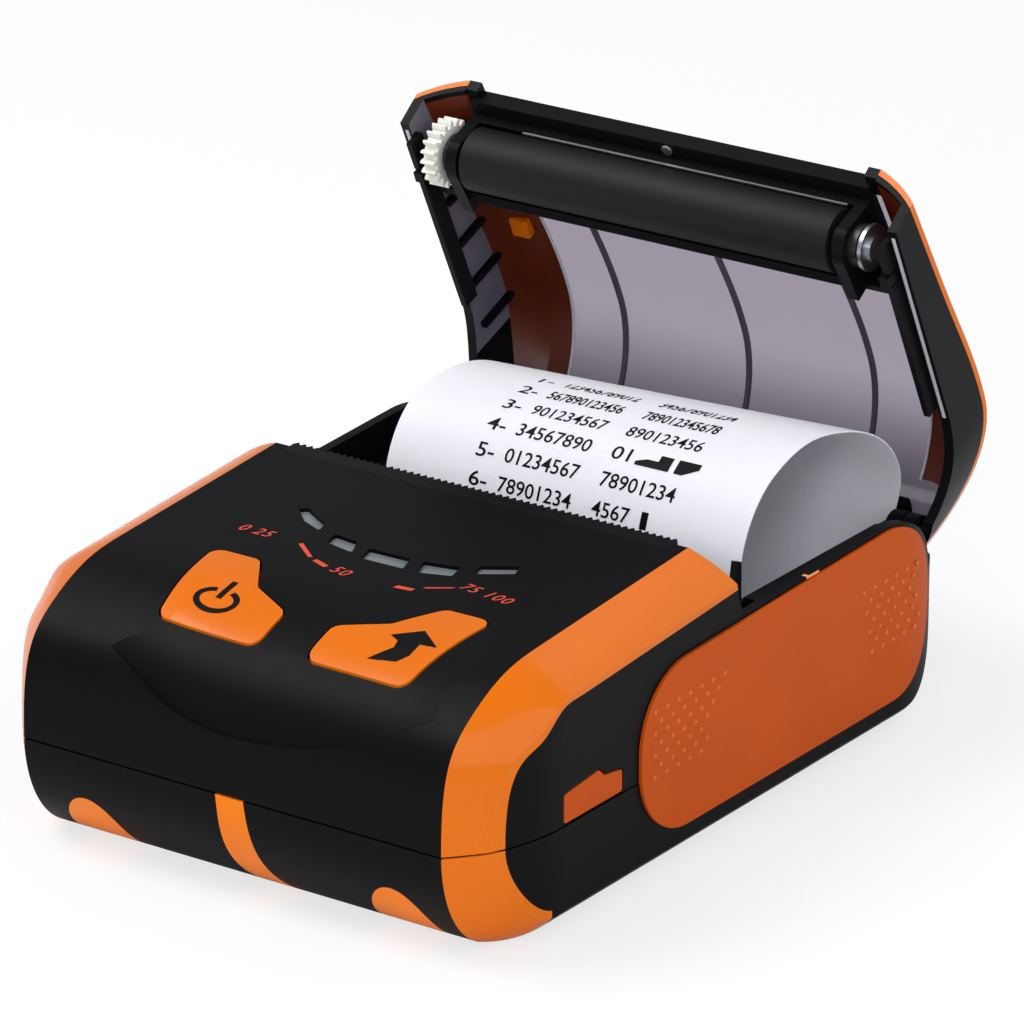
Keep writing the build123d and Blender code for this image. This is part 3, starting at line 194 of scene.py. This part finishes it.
# Casing and lid
plastic("shell_black", (10, 10, 11), 0.44, grain=FINE_GRAIN, shine=0.06)
plastic("satin_black", (12, 12, 14), 0.4, grain=COARSE_GRAIN, shine=0.08)
plastic("orange_gloss", (212, 104, 3), 0.28, coat=0.12, drift=0.03, shine=0.12)
plastic("orange_bright", (238, 122, 3), 0.3, coat=0.1, drift=0.03, shine=0.12)
plastic("orange_matt", (184, 74, 4), 0.5, grain=COARSE_GRAIN, drift=0.05, shine=0.1)
plastic("orange_dot", (202, 92, 14), 0.4, shine=0.3)
# Painted highlight: pale colour of the small tab on the right rim
plastic("rim_tab_highlight", (236, 150, 84), 0.4)
smoky("smoky_window", (172, 163, 177), (84, 79, 88), low=34.0 * MM, high=58.0 * MM, roughness=0.1)
# Brown of the orange bands seen through the smoky window from inside the lid, darkened with painted shade
plastic("shaded_band_behind_window", (88, 30, 9), 0.34, drift=0.12, shine=0.3)
# Painted light: grey for the lit inner faces of the lid's black side walls
plastic("lit_wall_grey", (104, 100, 112), 0.35)
# Painted highlight: pale strips along the window's edges and along the lid's lower rim
plastic("edge_highlight", (196, 194, 202), 0.25)
plastic("rib_shadow", (74, 70, 78), 0.4, shine=0.3)
plastic("foot_rubber", (30, 30, 30), 0.7, grain=COARSE_GRAIN)
# Paper and print
paper_like("thermal_paper", (234, 234, 240))
# Painted shade: bluish copy of the paper for the shaded inside of the loop
paper_like("paper_inside_shade_tint", (226, 230, 252))
plastic("label_print", (206, 66, 34), 0.45, drift=0.03)
plastic("black_print", (8, 8, 9), 0.5, drift=0.1, shine=0.08)
# Platen and print mechanism
plastic("roller_rubber", (17, 17, 19), 0.55, grain=FINE_GRAIN, shine=0.2)
plastic("gear_ivory", (232, 230, 220), 0.4, drift=0.03)
plastic("bush_plastic", (28, 28, 30), 0.4)
plastic("frame_black", (20, 20, 22), 0.4, shine=0.2)
metal("steel", (178, 180, 184), 0.32)
metal("heat_sink", (190, 192, 196), 0.38)
metal("motor_case", (120, 122, 128), 0.4)
metal("brass", (200, 160, 84), 0.3)
# Electronics
plastic("circuit_board", (22, 92, 50), 0.35)
plastic("chip_black", (30, 30, 32), 0.45)
plastic("led_white", (220, 220, 205), 0.3)
plastic("led_lens", (106, 112, 116), 0.3, coat=0.3, drift=0.25, shine=0.6)
plastic("battery_wrap", (30, 70, 150), 0.3)
metal("port_metal", (190, 192, 196), 0.25)

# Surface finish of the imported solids
SOLID_SHARP_ANGLE = math.radians(32)
slots = {entry["node"]: entry["material_slot"] for entry in frame["record"]["subparts"]}
for name, piece in nodes.items():
    piece.data.materials.clear()
    piece.data.materials.append(MATERIALS[slots[name]])
    for polygon in piece.data.polygons:
        polygon.use_smooth = True
    piece.data.set_sharp_from_angle(angle=SOLID_SHARP_ANGLE)


def paint(name, slot, chosen):
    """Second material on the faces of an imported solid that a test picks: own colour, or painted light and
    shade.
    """
    mesh = nodes[name].data
    mesh.materials.append(MATERIALS[slot])
    index = len(mesh.materials) - 1
    for polygon in mesh.polygons:
        places = [mesh.vertices[vertex].co for vertex in polygon.vertices]
        if chosen(polygon, places):
            polygon.material_index = index


def beyond_crease(face, places):
    return all(abs(place.x) > (CREASE_X - NEAR) * MM for place in places)


def on_rib_side(face, places):
    return any(
        all(abs(abs(place.x - rib_x * MM) - WINDOW_RIB_HALF * MM) < NEAR * MM for place in places)
        for rib_x in WINDOW_RIB_X)


def on_inner_wall(face, places):
    return face.normal.x * places[0].x < 0 and all(
        abs(abs(place.x) - WALL_INNER_X * MM) < WALL_INNER_SPREAD * MM for place in places)


def every_face(face, places):
    return True


# The orange bands show brown through the window inside the lid, darkened with painted shade; the inner faces
# of its black side walls are painted grey as painted light where they are lit; the sides of its window's ribs
# are painted with shade
paint("lid_window", "shaded_band_behind_window", beyond_crease)
paint("lid_window", "rib_shadow", on_rib_side)
paint("lid_frame", "lit_wall_grey", on_inner_wall)
for name in ("front_stripe", "front_inlay_left", "front_inlay_right"):
    paint(name, "orange_bright", every_face)

# Edges of the larger mouldings are slightly rounded
ROUNDED = {
    "power_button": 0.45, "feed_button": 0.45, "side_panel_left": 0.4, "side_panel_right": 0.4,
    "usb_cover": 0.25, "upper_trim_left": 0.25, "upper_trim_right": 0.25,
}
ROUNDED_ANGLE = math.radians(50)
for name, width in ROUNDED.items():
    bevel = nodes[name].modifiers.new("rounded edge", "BEVEL")
    bevel.width = width * MM
    bevel.segments = 3
    bevel.limit_method = "ANGLE"
    bevel.angle_limit = ROUNDED_ANGLE


def surface_of(*names):
    """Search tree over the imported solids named."""
    points = []
    faces = []
    for name in names:
        mesh = nodes[name].data
        start = len(points)
        points.extend(vertex.co.copy() for vertex in mesh.vertices)
        faces.extend([start + index for index in polygon.vertices] for polygon in mesh.polygons)
    return BVHTree.FromPolygons(points, faces)


def on_lid(x, y, z):
    """Place on the open lid of a point that is given with the lid shut, in millimetres."""
    return LID_SWING @ (Vector((x, y, z)) * MM)


def lid_direction(x, y, z):
    return LID_SWING.to_3x3() @ Vector((x, y, z))


def new_object(name, mesh, slot, body):
    piece = bpy.data.objects.new(name, mesh)
    bpy.context.scene.collection.objects.link(piece)
    mesh.materials.append(MATERIALS[slot])
    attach(piece, body)
    return piece


DETAIL_SHARP_ANGLE = math.radians(35)


def solid(name, points, faces, slot, body, bevel=0.0, smooth=False):
    """Piece from points in metres; bevel is in millimetres."""
    mesh = bpy.data.meshes.new(name)
    mesh.from_pydata([tuple(point) for point in points], [], faces)
    if smooth:
        for polygon in mesh.polygons:
            polygon.use_smooth = True
        mesh.set_sharp_from_angle(angle=DETAIL_SHARP_ANGLE)
    piece = new_object(name, mesh, slot, body)
    if bevel:
        rounding = piece.modifiers.new("rounded edge", "BEVEL")
        rounding.width = bevel * MM
        rounding.segments = 2


BOX_FACES = [(0, 2, 3, 1), (4, 5, 7, 6), (0, 1, 5, 4), (2, 6, 7, 3), (0, 4, 6, 2), (1, 3, 7, 5)]


def box(name, low, high, slot, body, place=None, bevel=0.0):
    """Box between two corners in millimetres; place turns a corner into a point in metres."""
    corners = [(x, y, z) for z in (low[2], high[2]) for y in (low[1], high[1]) for x in (low[0], high[0])]
    points = [place(*corner) if place else Vector(corner) * MM for corner in corners]
    solid(name, points, BOX_FACES, slot, body, bevel)


STRIP_SUNK = 0.02


def strip(name, centres, normal, width, height, slot, body):
    """Bar of rectangular section along a line of points, wide across X."""
    across = Vector((width / 2 * MM, 0, 0))
    points = []
    for centre in centres:
        for lift in (-STRIP_SUNK * MM, height * MM):
            points.extend((centre - across + normal * lift, centre + across + normal * lift))
    faces = [(0, 1, 3, 2)]
    for index in range(len(centres) - 1):
        a = 4 * index
        b = a + 4
        faces.extend([
            (a, b, b + 1, a + 1), (a + 1, b + 1, b + 3, a + 3),
            (a + 3, b + 3, b + 2, a + 2), (a + 2, b + 2, b, a),
        ])
    last = 4 * (len(centres) - 1)
    faces.append((last, last + 2, last + 3, last + 1))
    solid(name, points, faces, slot, body)


def ring_walls(start, sides, rings):
    """Faces between rings of points that are stacked one on another."""
    faces = []
    for ring in range(rings - 1):
        for step in range(sides):
            a = start + ring * sides + step
            b = start + ring * sides + (step + 1) % sides
            faces.append((a, b, b + sides, a + sides))
    return faces


# Rings of a disc with a chamfered edge: share of its height, share of its radius
DISC_RINGS = ((0.0, 1.0), (0.75, 1.0), (1.0, 0.86))
DISC_SIDES = 28


def disc(name, centre, axis, radius, height, slot, body):
    """Short round piece that stands on a point."""
    axis = Vector(axis).normalized()
    side = axis.orthogonal().normalized()
    other = axis.cross(side)
    points = []
    for level, share in DISC_RINGS:
        for step in range(DISC_SIDES):
            angle = 2 * math.pi * step / DISC_SIDES
            reach = (side * math.cos(angle) + other * math.sin(angle)) * radius * share * MM
            points.append(centre + reach + axis * height * level * MM)
    last_ring = (len(DISC_RINGS) - 1) * DISC_SIDES
    faces = [tuple(reversed(range(DISC_SIDES))), tuple(range(last_ring, last_ring + DISC_SIDES))]
    faces.extend(ring_walls(0, DISC_SIDES, len(DISC_RINGS)))
    solid(name, points, faces, slot, body)


# Flat meshes for print: drawn in the XY plane in millimetres, then settled on a surface
SHAPE_STEP = 1.0
PRINT_SHAPE_STEP = 0.8
CUT_ROUNDS = 4


def cut_finely(build, step):
    """Triangles short enough to follow a curved surface."""
    bmesh.ops.triangulate(build, faces=build.faces[:])
    for _ in range(CUT_ROUNDS):
        long_edges = [edge for edge in build.edges if edge.calc_length() > step]
        if not long_edges:
            break
        bmesh.ops.subdivide_edges(build, edges=long_edges, cuts=1)
        bmesh.ops.triangulate(build, faces=build.faces[:])


def flat_shape(name, outlines, step):
    """Flat mesh of closed outlines."""
    mesh = bpy.data.meshes.new(name)
    build = bmesh.new()
    for outline in outlines:
        build.faces.new([build.verts.new((x, y, 0)) for x, y in outline])
    cut_finely(build, step)
    build.to_mesh(mesh)
    build.free()
    return mesh


DIGIT_HEIGHT_SHARE = 0.7
DIGIT_CURVE_STEPS = 3


def flat_digits(text, height, step, slant=0.0, weight=0.0, spacing=1.0):
    """Flat mesh of digits that starts at the origin."""
    curve = bpy.data.curves.new("digits", "FONT")
    curve.body = text
    curve.size = height / DIGIT_HEIGHT_SHARE
    curve.shear = slant
    curve.offset = weight
    curve.space_character = spacing
    curve.resolution_u = DIGIT_CURVE_STEPS
    holder = bpy.data.objects.new("digits", curve)
    bpy.context.scene.collection.objects.link(holder)
    bpy.context.view_layer.update()
    mesh = bpy.data.meshes.new_from_object(holder.evaluated_get(bpy.context.evaluated_depsgraph_get()))
    bpy.data.objects.remove(holder)
    bpy.data.curves.remove(curve)
    build = bmesh.new()
    build.from_mesh(mesh)
    cut_finely(build, step)
    build.to_mesh(mesh)
    build.free()
    mesh.materials.clear()
    return mesh


def turned(mesh, x, y, angle=0.0):
    """A flat mesh turned and moved within its plane."""
    mesh.transform(Matrix.Translation((x, y, 0)) @ Matrix.Rotation(angle, 4, "Z"))
    return mesh


def settle(mesh, place):
    """Moves the points of a flat mesh, in millimetres, to their places on the object, in metres."""
    for vertex in mesh.vertices:
        vertex.co = place(vertex.co.x, vertex.co.y)


def joined(name, meshes):
    """One mesh from several."""
    build = bmesh.new()
    for mesh in meshes:
        build.from_mesh(mesh)
    result = bpy.data.meshes.new(name)
    build.to_mesh(result)
    build.free()
    return result


ABOVE_ALL = 200.0 * MM
PRINT_LIFT = 0.05


def seen_from_above(surface):
    """Place on a surface under a point in plan, in millimetres, lifted a little off it."""
    def place(x, y):
        hit, normal, _, _ = surface.ray_cast(Vector((x * MM, y * MM, ABOVE_ALL)), Vector((0, 0, -1)))
        if normal.z < 0:
            normal = -normal
        return hit + normal * PRINT_LIFT * MM
    return place


# Symbols on the two buttons
RING_MIDDLE = (-15.9, -57.4)
RING_HALF = (4.5, 3.3)
RING_STROKE = 1.15
RING_GAP = math.radians(24)
RING_STEPS = 40
BAR_HALF = 0.6
BAR_ENDS = (-57.0, -51.7)
ARROW = (
    (19.0, -60.9), (21.3, -60.6), (21.9, -57.0), (21.4, -55.2), (19.2, -54.2), (24.1, -50.9), (29.2, -54.5),
    (25.8, -54.8), (25.9, -58.0), (24.5, -60.0),
)


def ring_corner(step, inset):
    angle = math.pi / 2 + RING_GAP + (2 * math.pi - 2 * RING_GAP) * step / RING_STEPS
    return (RING_MIDDLE[0] + (RING_HALF[0] - inset) * math.cos(angle),
            RING_MIDDLE[1] + (RING_HALF[1] - inset) * math.sin(angle))


power_outlines = [
    (ring_corner(step, 0), ring_corner(step + 1, 0),
     ring_corner(step + 1, RING_STROKE), ring_corner(step, RING_STROKE))
    for step in range(RING_STEPS)
]
bar_left, bar_right = RING_MIDDLE[0] - BAR_HALF, RING_MIDDLE[0] + BAR_HALF
power_outlines.append([
    (bar_left, BAR_ENDS[0]), (bar_right, BAR_ENDS[0]), (bar_right, BAR_ENDS[1]), (bar_left, BAR_ENDS[1]),
])
for button, outlines in (("power", power_outlines), ("feed", [ARROW])):
    symbol = flat_shape(f"{button}_symbol", outlines, SHAPE_STEP)
    settle(symbol, seen_from_above(surface_of(f"{button}_button")))
    new_object(f"{button}_symbol", symbol, "black_print", button)

# Printed scale below the light windows: digits and short dashes
SCALE_HEIGHT = 2.5
SCALE_SLANT = 0.25
SCALE_WEIGHT = 0.02
SCALE_SPACING = 1.15
SCALE_DIGITS = (("0 25", -28.9, -34.6, -0.02), ("50", -4.4, -40.4, -0.16), ("75 100", 19.4, -34.8, -0.12))
SCALE_DASHES = (
    ((-15.4, -34.2), (-14.8, -33.6), (-9.9, -37.4), (-10.6, -37.8)),
    ((-9.1, -38.6), (-8.7, -37.7), (-5.3, -38.9), (-5.8, -39.8)),
    ((9.5, -40.3), (9.9, -39.2), (13.4, -38.9), (13.1, -39.9)),
    ((14.4, -38.1), (14.6, -37.4), (19.2, -34.9), (18.8, -35.6)),
)
scale_meshes = [flat_shape("scale_dashes", SCALE_DASHES, SHAPE_STEP)]
for text, x, y, angle in SCALE_DIGITS:
    digits = flat_digits(text, SCALE_HEIGHT, SHAPE_STEP, SCALE_SLANT, SCALE_WEIGHT, SCALE_SPACING)
    scale_meshes.append(turned(digits, x, y, angle))
scale_mesh = joined("panel_scale", scale_meshes)
settle(scale_mesh, seen_from_above(surface_of("top_shell")))
new_object("panel_scale", scale_mesh, "label_print", "base")

# Curled paper
PAPER_AXIS = Vector((0.0, 47.6, 30.0)) * MM
paper_surface = surface_of("receipt_paper")
paper_mesh = nodes["receipt_paper"].data.copy()
paper_mesh.materials.clear()
paper_sheet = new_object("receipt_sheet", paper_mesh, "thermal_paper", "base")
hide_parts("receipt_paper")
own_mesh(paper_sheet)
# The inner faces of the loop get the bluish copy of the paper: painted cool shade
paper_mesh.materials.append(MATERIALS["paper_inside_shade_tint"])
for face in paper_mesh.polygons:
    inwards = PAPER_AXIS - face.center
    inwards.x = 0
    face.material_index = 1 if face.normal.dot(inwards) > 0 else 0

# The print keeps its spacing along the paper, whatever the curl
BEYOND_PAPER = 60.0 * MM
PAPER_PRINT_LIFT = 0.04
PRINT_STEP = 0.25
TRIAL_ANGLE = math.radians(0.5)
CREST_ANGLE = math.radians(88)
FRONT_ANGLE = math.radians(188)
LAST_STEP_MARGIN = 1.001


def paper_point(x, angle):
    """Point on the outside of the paper loop in a direction from its axis."""
    outwards = Vector((0, math.cos(angle), math.sin(angle)))
    start = Vector((x * MM, PAPER_AXIS.y, PAPER_AXIS.z)) + outwards * BEYOND_PAPER
    hit, _, _, _ = paper_surface.ray_cast(start, -outwards)
    return hit + outwards * PAPER_PRINT_LIFT * MM


# Angle round the paper at each step of length from its crest towards the tear bar
print_angles = [CREST_ANGLE]
while print_angles[-1] < FRONT_ANGLE:
    here = paper_point(0, print_angles[-1])
    length = (paper_point(0, print_angles[-1] + TRIAL_ANGLE) - here).length / MM
    print_angles.append(print_angles[-1] + TRIAL_ANGLE * PRINT_STEP / length)


def paper_place(x, y):
    """Place of a print point: x across the paper, y up the paper from the crest, in millimetres."""
    steps = min(max(-y / PRINT_STEP, 0.0), len(print_angles) - LAST_STEP_MARGIN)
    low = int(steps)
    angle = print_angles[low] + (print_angles[low + 1] - print_angles[low]) * (steps - low)
    return paper_point(x, angle)


# Print on the paper: numbered rows of digits, with blocks in two of the rows
ROW_SPACING = 5.55
FIRST_ROW = 2.2
HEADING_X = -21.3
GROUP_X = (-14.8, 6.4)
GROUP_WIDTH = 16.6
DIGIT_STEP = 2.07
PRINT_HEIGHT = 2.8
PRINT_WEIGHT = 0.035
DENSE_ROWS = 2
DENSE_WEIGHT = 0.07
ROWS = (
    ("1-", "123456789012", "345678901234"), ("2-", "567890123456", "789012345678"),
    ("3-", "901234567", "890123456"), ("4-", "34567890", "01"), ("5-", "01234567", "78901234"),
    ("6-", "78901234", "4567"),
)
BLOCK_ROW = 3
BLOCKS = (
    ((12.0, -0.2), (19.4, -0.2), (19.4, 2.8), (16.6, 2.8), (16.6, 1.4), (14.2, 1.4), (14.2, 0.6), (12.0, 0.6)),
    ((20.6, -0.2), (22.4, -0.2), (22.4, 1.5), (25.4, 1.5), (25.4, 2.8), (20.6, 2.8)),
)
END_BAR = ((17.2, -0.4), (18.7, -0.4), (18.7, 2.8), (17.2, 2.8))


def baseline(row):
    return -FIRST_ROW - ROW_SPACING * row


print_meshes = []
for row, (heading, first, second) in enumerate(ROWS):
    for text, x in ((heading, HEADING_X), (first, GROUP_X[0]), (second, GROUP_X[1])):
        weight = DENSE_WEIGHT if row < DENSE_ROWS and text != heading else PRINT_WEIGHT
        digits = flat_digits(text, PRINT_HEIGHT, PRINT_SHAPE_STEP, weight=weight)
        widest = max(vertex.co.x for vertex in digits.vertices)
        digits.transform(Matrix.Scale(min(GROUP_WIDTH, DIGIT_STEP * len(text)) / widest, 4, (1, 0, 0)))
        print_meshes.append(turned(digits, x, baseline(row)))
for row, outlines in ((BLOCK_ROW, BLOCKS), (len(ROWS) - 1, (END_BAR,))):
    print_meshes.append(turned(flat_shape("print_blocks", outlines, PRINT_SHAPE_STEP), 0, baseline(row)))
print_mesh = joined("receipt_print", print_meshes)
settle(print_mesh, paper_place)
paper_print = new_object("receipt_print", print_mesh, "black_print", "base")
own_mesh(paper_print)

# Small raised dots on both side panels, in staggered rows that get longer towards the top
PANEL_X = 55.0
DOT_RADIUS = 0.5
DOT_HEIGHT = 0.2
DOT_SIDES = 10
DOT_RINGS = ((1.0, -0.1), (0.9, 0.7), (0.55, 1.0))
DOT_ROWS = 7
DOT_LOW_Z = 20.4
DOT_ROW_STEP = 2.05
DOT_STEP = 3.6
FRONT_FIELD = (-26.0, -2.0)
FRONT_FIELD_LEAN = 1.5
BACK_FIELD = (41.0, 60.0)
BACK_FIELD_LEAN = 0.5


def raised_dot(start, side, y, z):
    """Points and faces of one dot on the panel of a side, open where it meets the panel."""
    points = []
    for reach, lift in DOT_RINGS:
        for corner in range(DOT_SIDES):
            angle = 2 * math.pi * corner / DOT_SIDES
            points.append(Vector((
                side * (PANEL_X + DOT_HEIGHT * lift),
                y + DOT_RADIUS * reach * math.cos(angle),
                z + DOT_RADIUS * reach * math.sin(angle),
            )) * MM)
    top = start + (len(DOT_RINGS) - 1) * DOT_SIDES
    faces = [*ring_walls(start, DOT_SIDES, len(DOT_RINGS)), tuple(range(top, top + DOT_SIDES))]
    return points, [face[::side] for face in faces]


for side_name, side in (("left", -1), ("right", 1)):
    points = []
    faces = []
    for row in range(DOT_ROWS):
        rows_above = DOT_ROWS - 1 - row
        z = DOT_LOW_Z + row * DOT_ROW_STEP
        front = (FRONT_FIELD[0], FRONT_FIELD[1] - FRONT_FIELD_LEAN * rows_above)
        back = (BACK_FIELD[0] + BACK_FIELD_LEAN * rows_above, BACK_FIELD[1])
        for first_y, last_y in (front, back):
            y = first_y + DOT_STEP / 2 * (row % 2)
            while y <= last_y:
                dot_points, dot_faces = raised_dot(len(points), side, y, z)
                points.extend(dot_points)
                faces.extend(dot_faces)
                y += DOT_STEP
    solid(f"panel_dots_{side_name}", points, faces, "orange_dot", "base", smooth=True)

# Small orange tab on the right rim, coloured pale as a painted highlight
box("rim_tab_highlight", (53.3, 22.6, 41.3), (54.6, 26.6, 41.8), "rim_tab_highlight", "base", bevel=0.12)

# Lid: brown sheets beside the window for the bands seen through it, with painted shade, and pale strips of
# painted highlight along the window's edges and the lid's lower rim
SHADED_BAND_Y = (18.6, 71.0)
SHADED_BAND_STEPS = 44
UNDER_LID_GAP = 0.06
SHADED_BAND_SHARES = (0.0, 0.5, 1.0)
EDGE_WIDTH, EDGE_HEIGHT = 0.45, 0.3
RIM_LINE_X = 53.3
RIM_LINE_Y = (4.0, 48.0)
RIM_LINE_STEPS = 40
RIM_LINE_WIDTH, RIM_LINE_HEIGHT = 0.7, 0.08
UNDER_CROWN_Z = 46.0
UNDER_RIM_Z = 20.0
lid_surface = surface_of("lid_window", "lid_frame")
lid_up = lid_direction(0, 0, 1)


def lid_above(x, y, z):
    """Place where the lid is first met upwards from a point given with the lid shut."""
    hit, _, _, _ = lid_surface.ray_cast(on_lid(x, y, z), lid_up)
    return hit


def inside_lid(x, y):
    """Place just below the inner face of the lid, above a point in plan."""
    return lid_above(x, y, UNDER_CROWN_Z) - lid_up * UNDER_LID_GAP * MM


def spaced(ends, steps):
    return [ends[0] + (ends[1] - ends[0]) * step / steps for step in range(steps + 1)]


shaded_band_y = spaced(SHADED_BAND_Y, SHADED_BAND_STEPS)
for side_name, side in (("left", -1), ("right", 1)):
    across = [side * (SHADED_BAND_EDGE_X + (CREASE_X - SHADED_BAND_EDGE_X) * share) for share in SHADED_BAND_SHARES]
    points = [inside_lid(x, y) for y in shaded_band_y for x in across]
    faces = []
    for row in range(SHADED_BAND_STEPS):
        for column in range(len(across) - 1):
            a = row * len(across) + column
            b = a + len(across)
            faces.append((a, a + 1, b + 1, b)[::-side])
    solid(f"shaded_band_behind_window_{side_name}", points, faces, "shaded_band_behind_window", "lid", smooth=True)
    edge_highlight = [inside_lid(side * SHADED_BAND_EDGE_X, y) for y in shaded_band_y]
    strip(f"edge_highlight_{side_name}", edge_highlight, -lid_up, EDGE_WIDTH, EDGE_HEIGHT, "edge_highlight", "lid")
    rim = [lid_above(side * RIM_LINE_X, y, UNDER_RIM_Z) for y in spaced(RIM_LINE_Y, RIM_LINE_STEPS)]
    strip(f"rim_highlight_{side_name}", rim, -lid_up, RIM_LINE_WIDTH, RIM_LINE_HEIGHT, "edge_highlight", "lid")

# Lid: screw and guide wire of the front bar, and a clip beside the window
SCREW_RADIUS, SCREW_HEIGHT = 1.15, 0.35
disc("bar_screw", on_lid(0, 2.9, 49.8), -lid_up, SCREW_RADIUS, SCREW_HEIGHT, "steel", "lid")
box("paper_guide", (-31.0, 4.1, 47.2), (40.0, 4.5, 47.6), "steel", "lid", on_lid)
box("lid_clip", (-47.6, 34.6, 54.6), (-43.4, 39.0, 56.8), "orange_gloss", "lid", on_lid, bevel=0.5)

# Camera
camera_data = bpy.data.cameras.new("photo_camera")
camera_data.sensor_width = SENSOR_WIDTH
camera_data.lens = FOCAL_PIXELS / IMAGE_PIXELS * SENSOR_WIDTH
camera_data.clip_start = 0.05
camera_data.clip_end = 20.0
camera = bpy.data.objects.new("photo_camera", camera_data)
back = Vector((
    math.sin(CAMERA_AZIMUTH) * math.cos(CAMERA_ELEVATION),
    -math.cos(CAMERA_AZIMUTH) * math.cos(CAMERA_ELEVATION),
    math.sin(CAMERA_ELEVATION),
))
right = Vector((math.cos(CAMERA_AZIMUTH), math.sin(CAMERA_AZIMUTH), 0.0))
up = back.cross(right)
camera.matrix_world = Matrix((
    (right.x, up.x, back.x, CAMERA_PLACE.x),
    (right.y, up.y, back.y, CAMERA_PLACE.y),
    (right.z, up.z, back.z, CAMERA_PLACE.z),
    (0, 0, 0, 1),
))
bpy.context.scene.collection.objects.link(camera)
bpy.context.scene.camera = camera

# Floor, a little below the feet
FLOOR_HALF = 4.0
FLOOR_Z = -0.0002
floor_mesh = bpy.data.meshes.new("floor")
floor_mesh.from_pydata(
    [(x * FLOOR_HALF, y * FLOOR_HALF, FLOOR_Z) for x, y in ((-1, -1), (1, -1), (1, 1), (-1, 1))], [],
    [(0, 1, 2, 3)],
)
floor = bpy.data.objects.new("floor", floor_mesh)
bpy.context.scene.collection.objects.link(floor)

WHITE = (1.0, 1.0, 1.0, 1)
COOL_WHITE = (0.94, 0.96, 1.0, 1)
FLOOR_GREY = (0.86, 0.86, 0.86, 1)


def white_when_seen(tree, lit, white, share, output):
    """Mixes a share of plain white into a lit shader where it is looked at directly or through the window."""
    light_path = tree.nodes.new("ShaderNodeLightPath")
    seen = tree.nodes.new("ShaderNodeMath")
    seen.operation = "MAXIMUM"
    tree.links.new(light_path.outputs["Is Camera Ray"], seen.inputs[0])
    tree.links.new(light_path.outputs["Is Transmission Ray"], seen.inputs[1])
    scaled = tree.nodes.new("ShaderNodeMath")
    scaled.operation = "MULTIPLY"
    scaled.inputs[1].default_value = share
    tree.links.new(seen.outputs["Value"], scaled.inputs[0])
    mix = tree.nodes.new("ShaderNodeMixShader")
    tree.links.new(scaled.outputs["Value"], mix.inputs["Fac"])
    tree.links.new(lit.outputs[0], mix.inputs[1])
    tree.links.new(white.outputs[0], mix.inputs[2])
    tree.links.new(mix.outputs["Shader"], output.inputs["Surface"])


floor_material = bpy.data.materials.new("floor")
floor_material.use_nodes = True
floor_tree = floor_material.node_tree
floor_tree.nodes.clear()
floor_diffuse = floor_tree.nodes.new("ShaderNodeBsdfDiffuse")
set_inputs(floor_diffuse, {"Color": FLOOR_GREY})
floor_white = floor_tree.nodes.new("ShaderNodeEmission")
set_inputs(floor_white, {"Color": WHITE})
floor_output = floor_tree.nodes.new("ShaderNodeOutputMaterial")
white_when_seen(floor_tree, floor_diffuse, floor_white, 0.72, floor_output)
floor_mesh.materials.append(floor_material)

# World
world = bpy.data.worlds.new("studio")
bpy.context.scene.world = world
world.use_nodes = True
world_tree = world.node_tree
world_tree.nodes.clear()
world_soft = world_tree.nodes.new("ShaderNodeBackground")
set_inputs(world_soft, {"Color": COOL_WHITE, "Strength": 0.46})
world_white = world_tree.nodes.new("ShaderNodeBackground")
set_inputs(world_white, {"Color": WHITE, "Strength": 1.0})
world_output = world_tree.nodes.new("ShaderNodeOutputWorld")
white_when_seen(world_tree, world_soft, world_white, 1.0, world_output)

# Studio lights: name, place and size in metres, power in watts, colour
LIGHT_TARGET = Vector((0.0, 0.0, 0.04))
LIGHTS = (
    ("key", (-0.55, -0.3, 1.0), 0.6, 9.0, WHITE),
    ("fill", (0.95, -0.35, 0.6), 0.8, 4.5, COOL_WHITE),
    ("front", (0.45, -0.85, 0.5), 0.25, 2.6, COOL_WHITE),
    ("rim", (0.2, 0.95, 0.85), 0.7, 2.0, WHITE),
)
for name, place, size, power, colour in LIGHTS:
    lamp_data = bpy.data.lights.new(name, "AREA")
    lamp_data.energy = power
    lamp_data.size = size
    lamp_data.color = colour[:3]
    lamp = bpy.data.objects.new(name, lamp_data)
    lamp.location = place
    lamp.rotation_euler = (LIGHT_TARGET - Vector(place)).to_track_quat("-Z", "Y").to_euler()
    bpy.context.scene.collection.objects.link(lamp)

bpy.context.scene.view_settings.view_transform = "Standard"
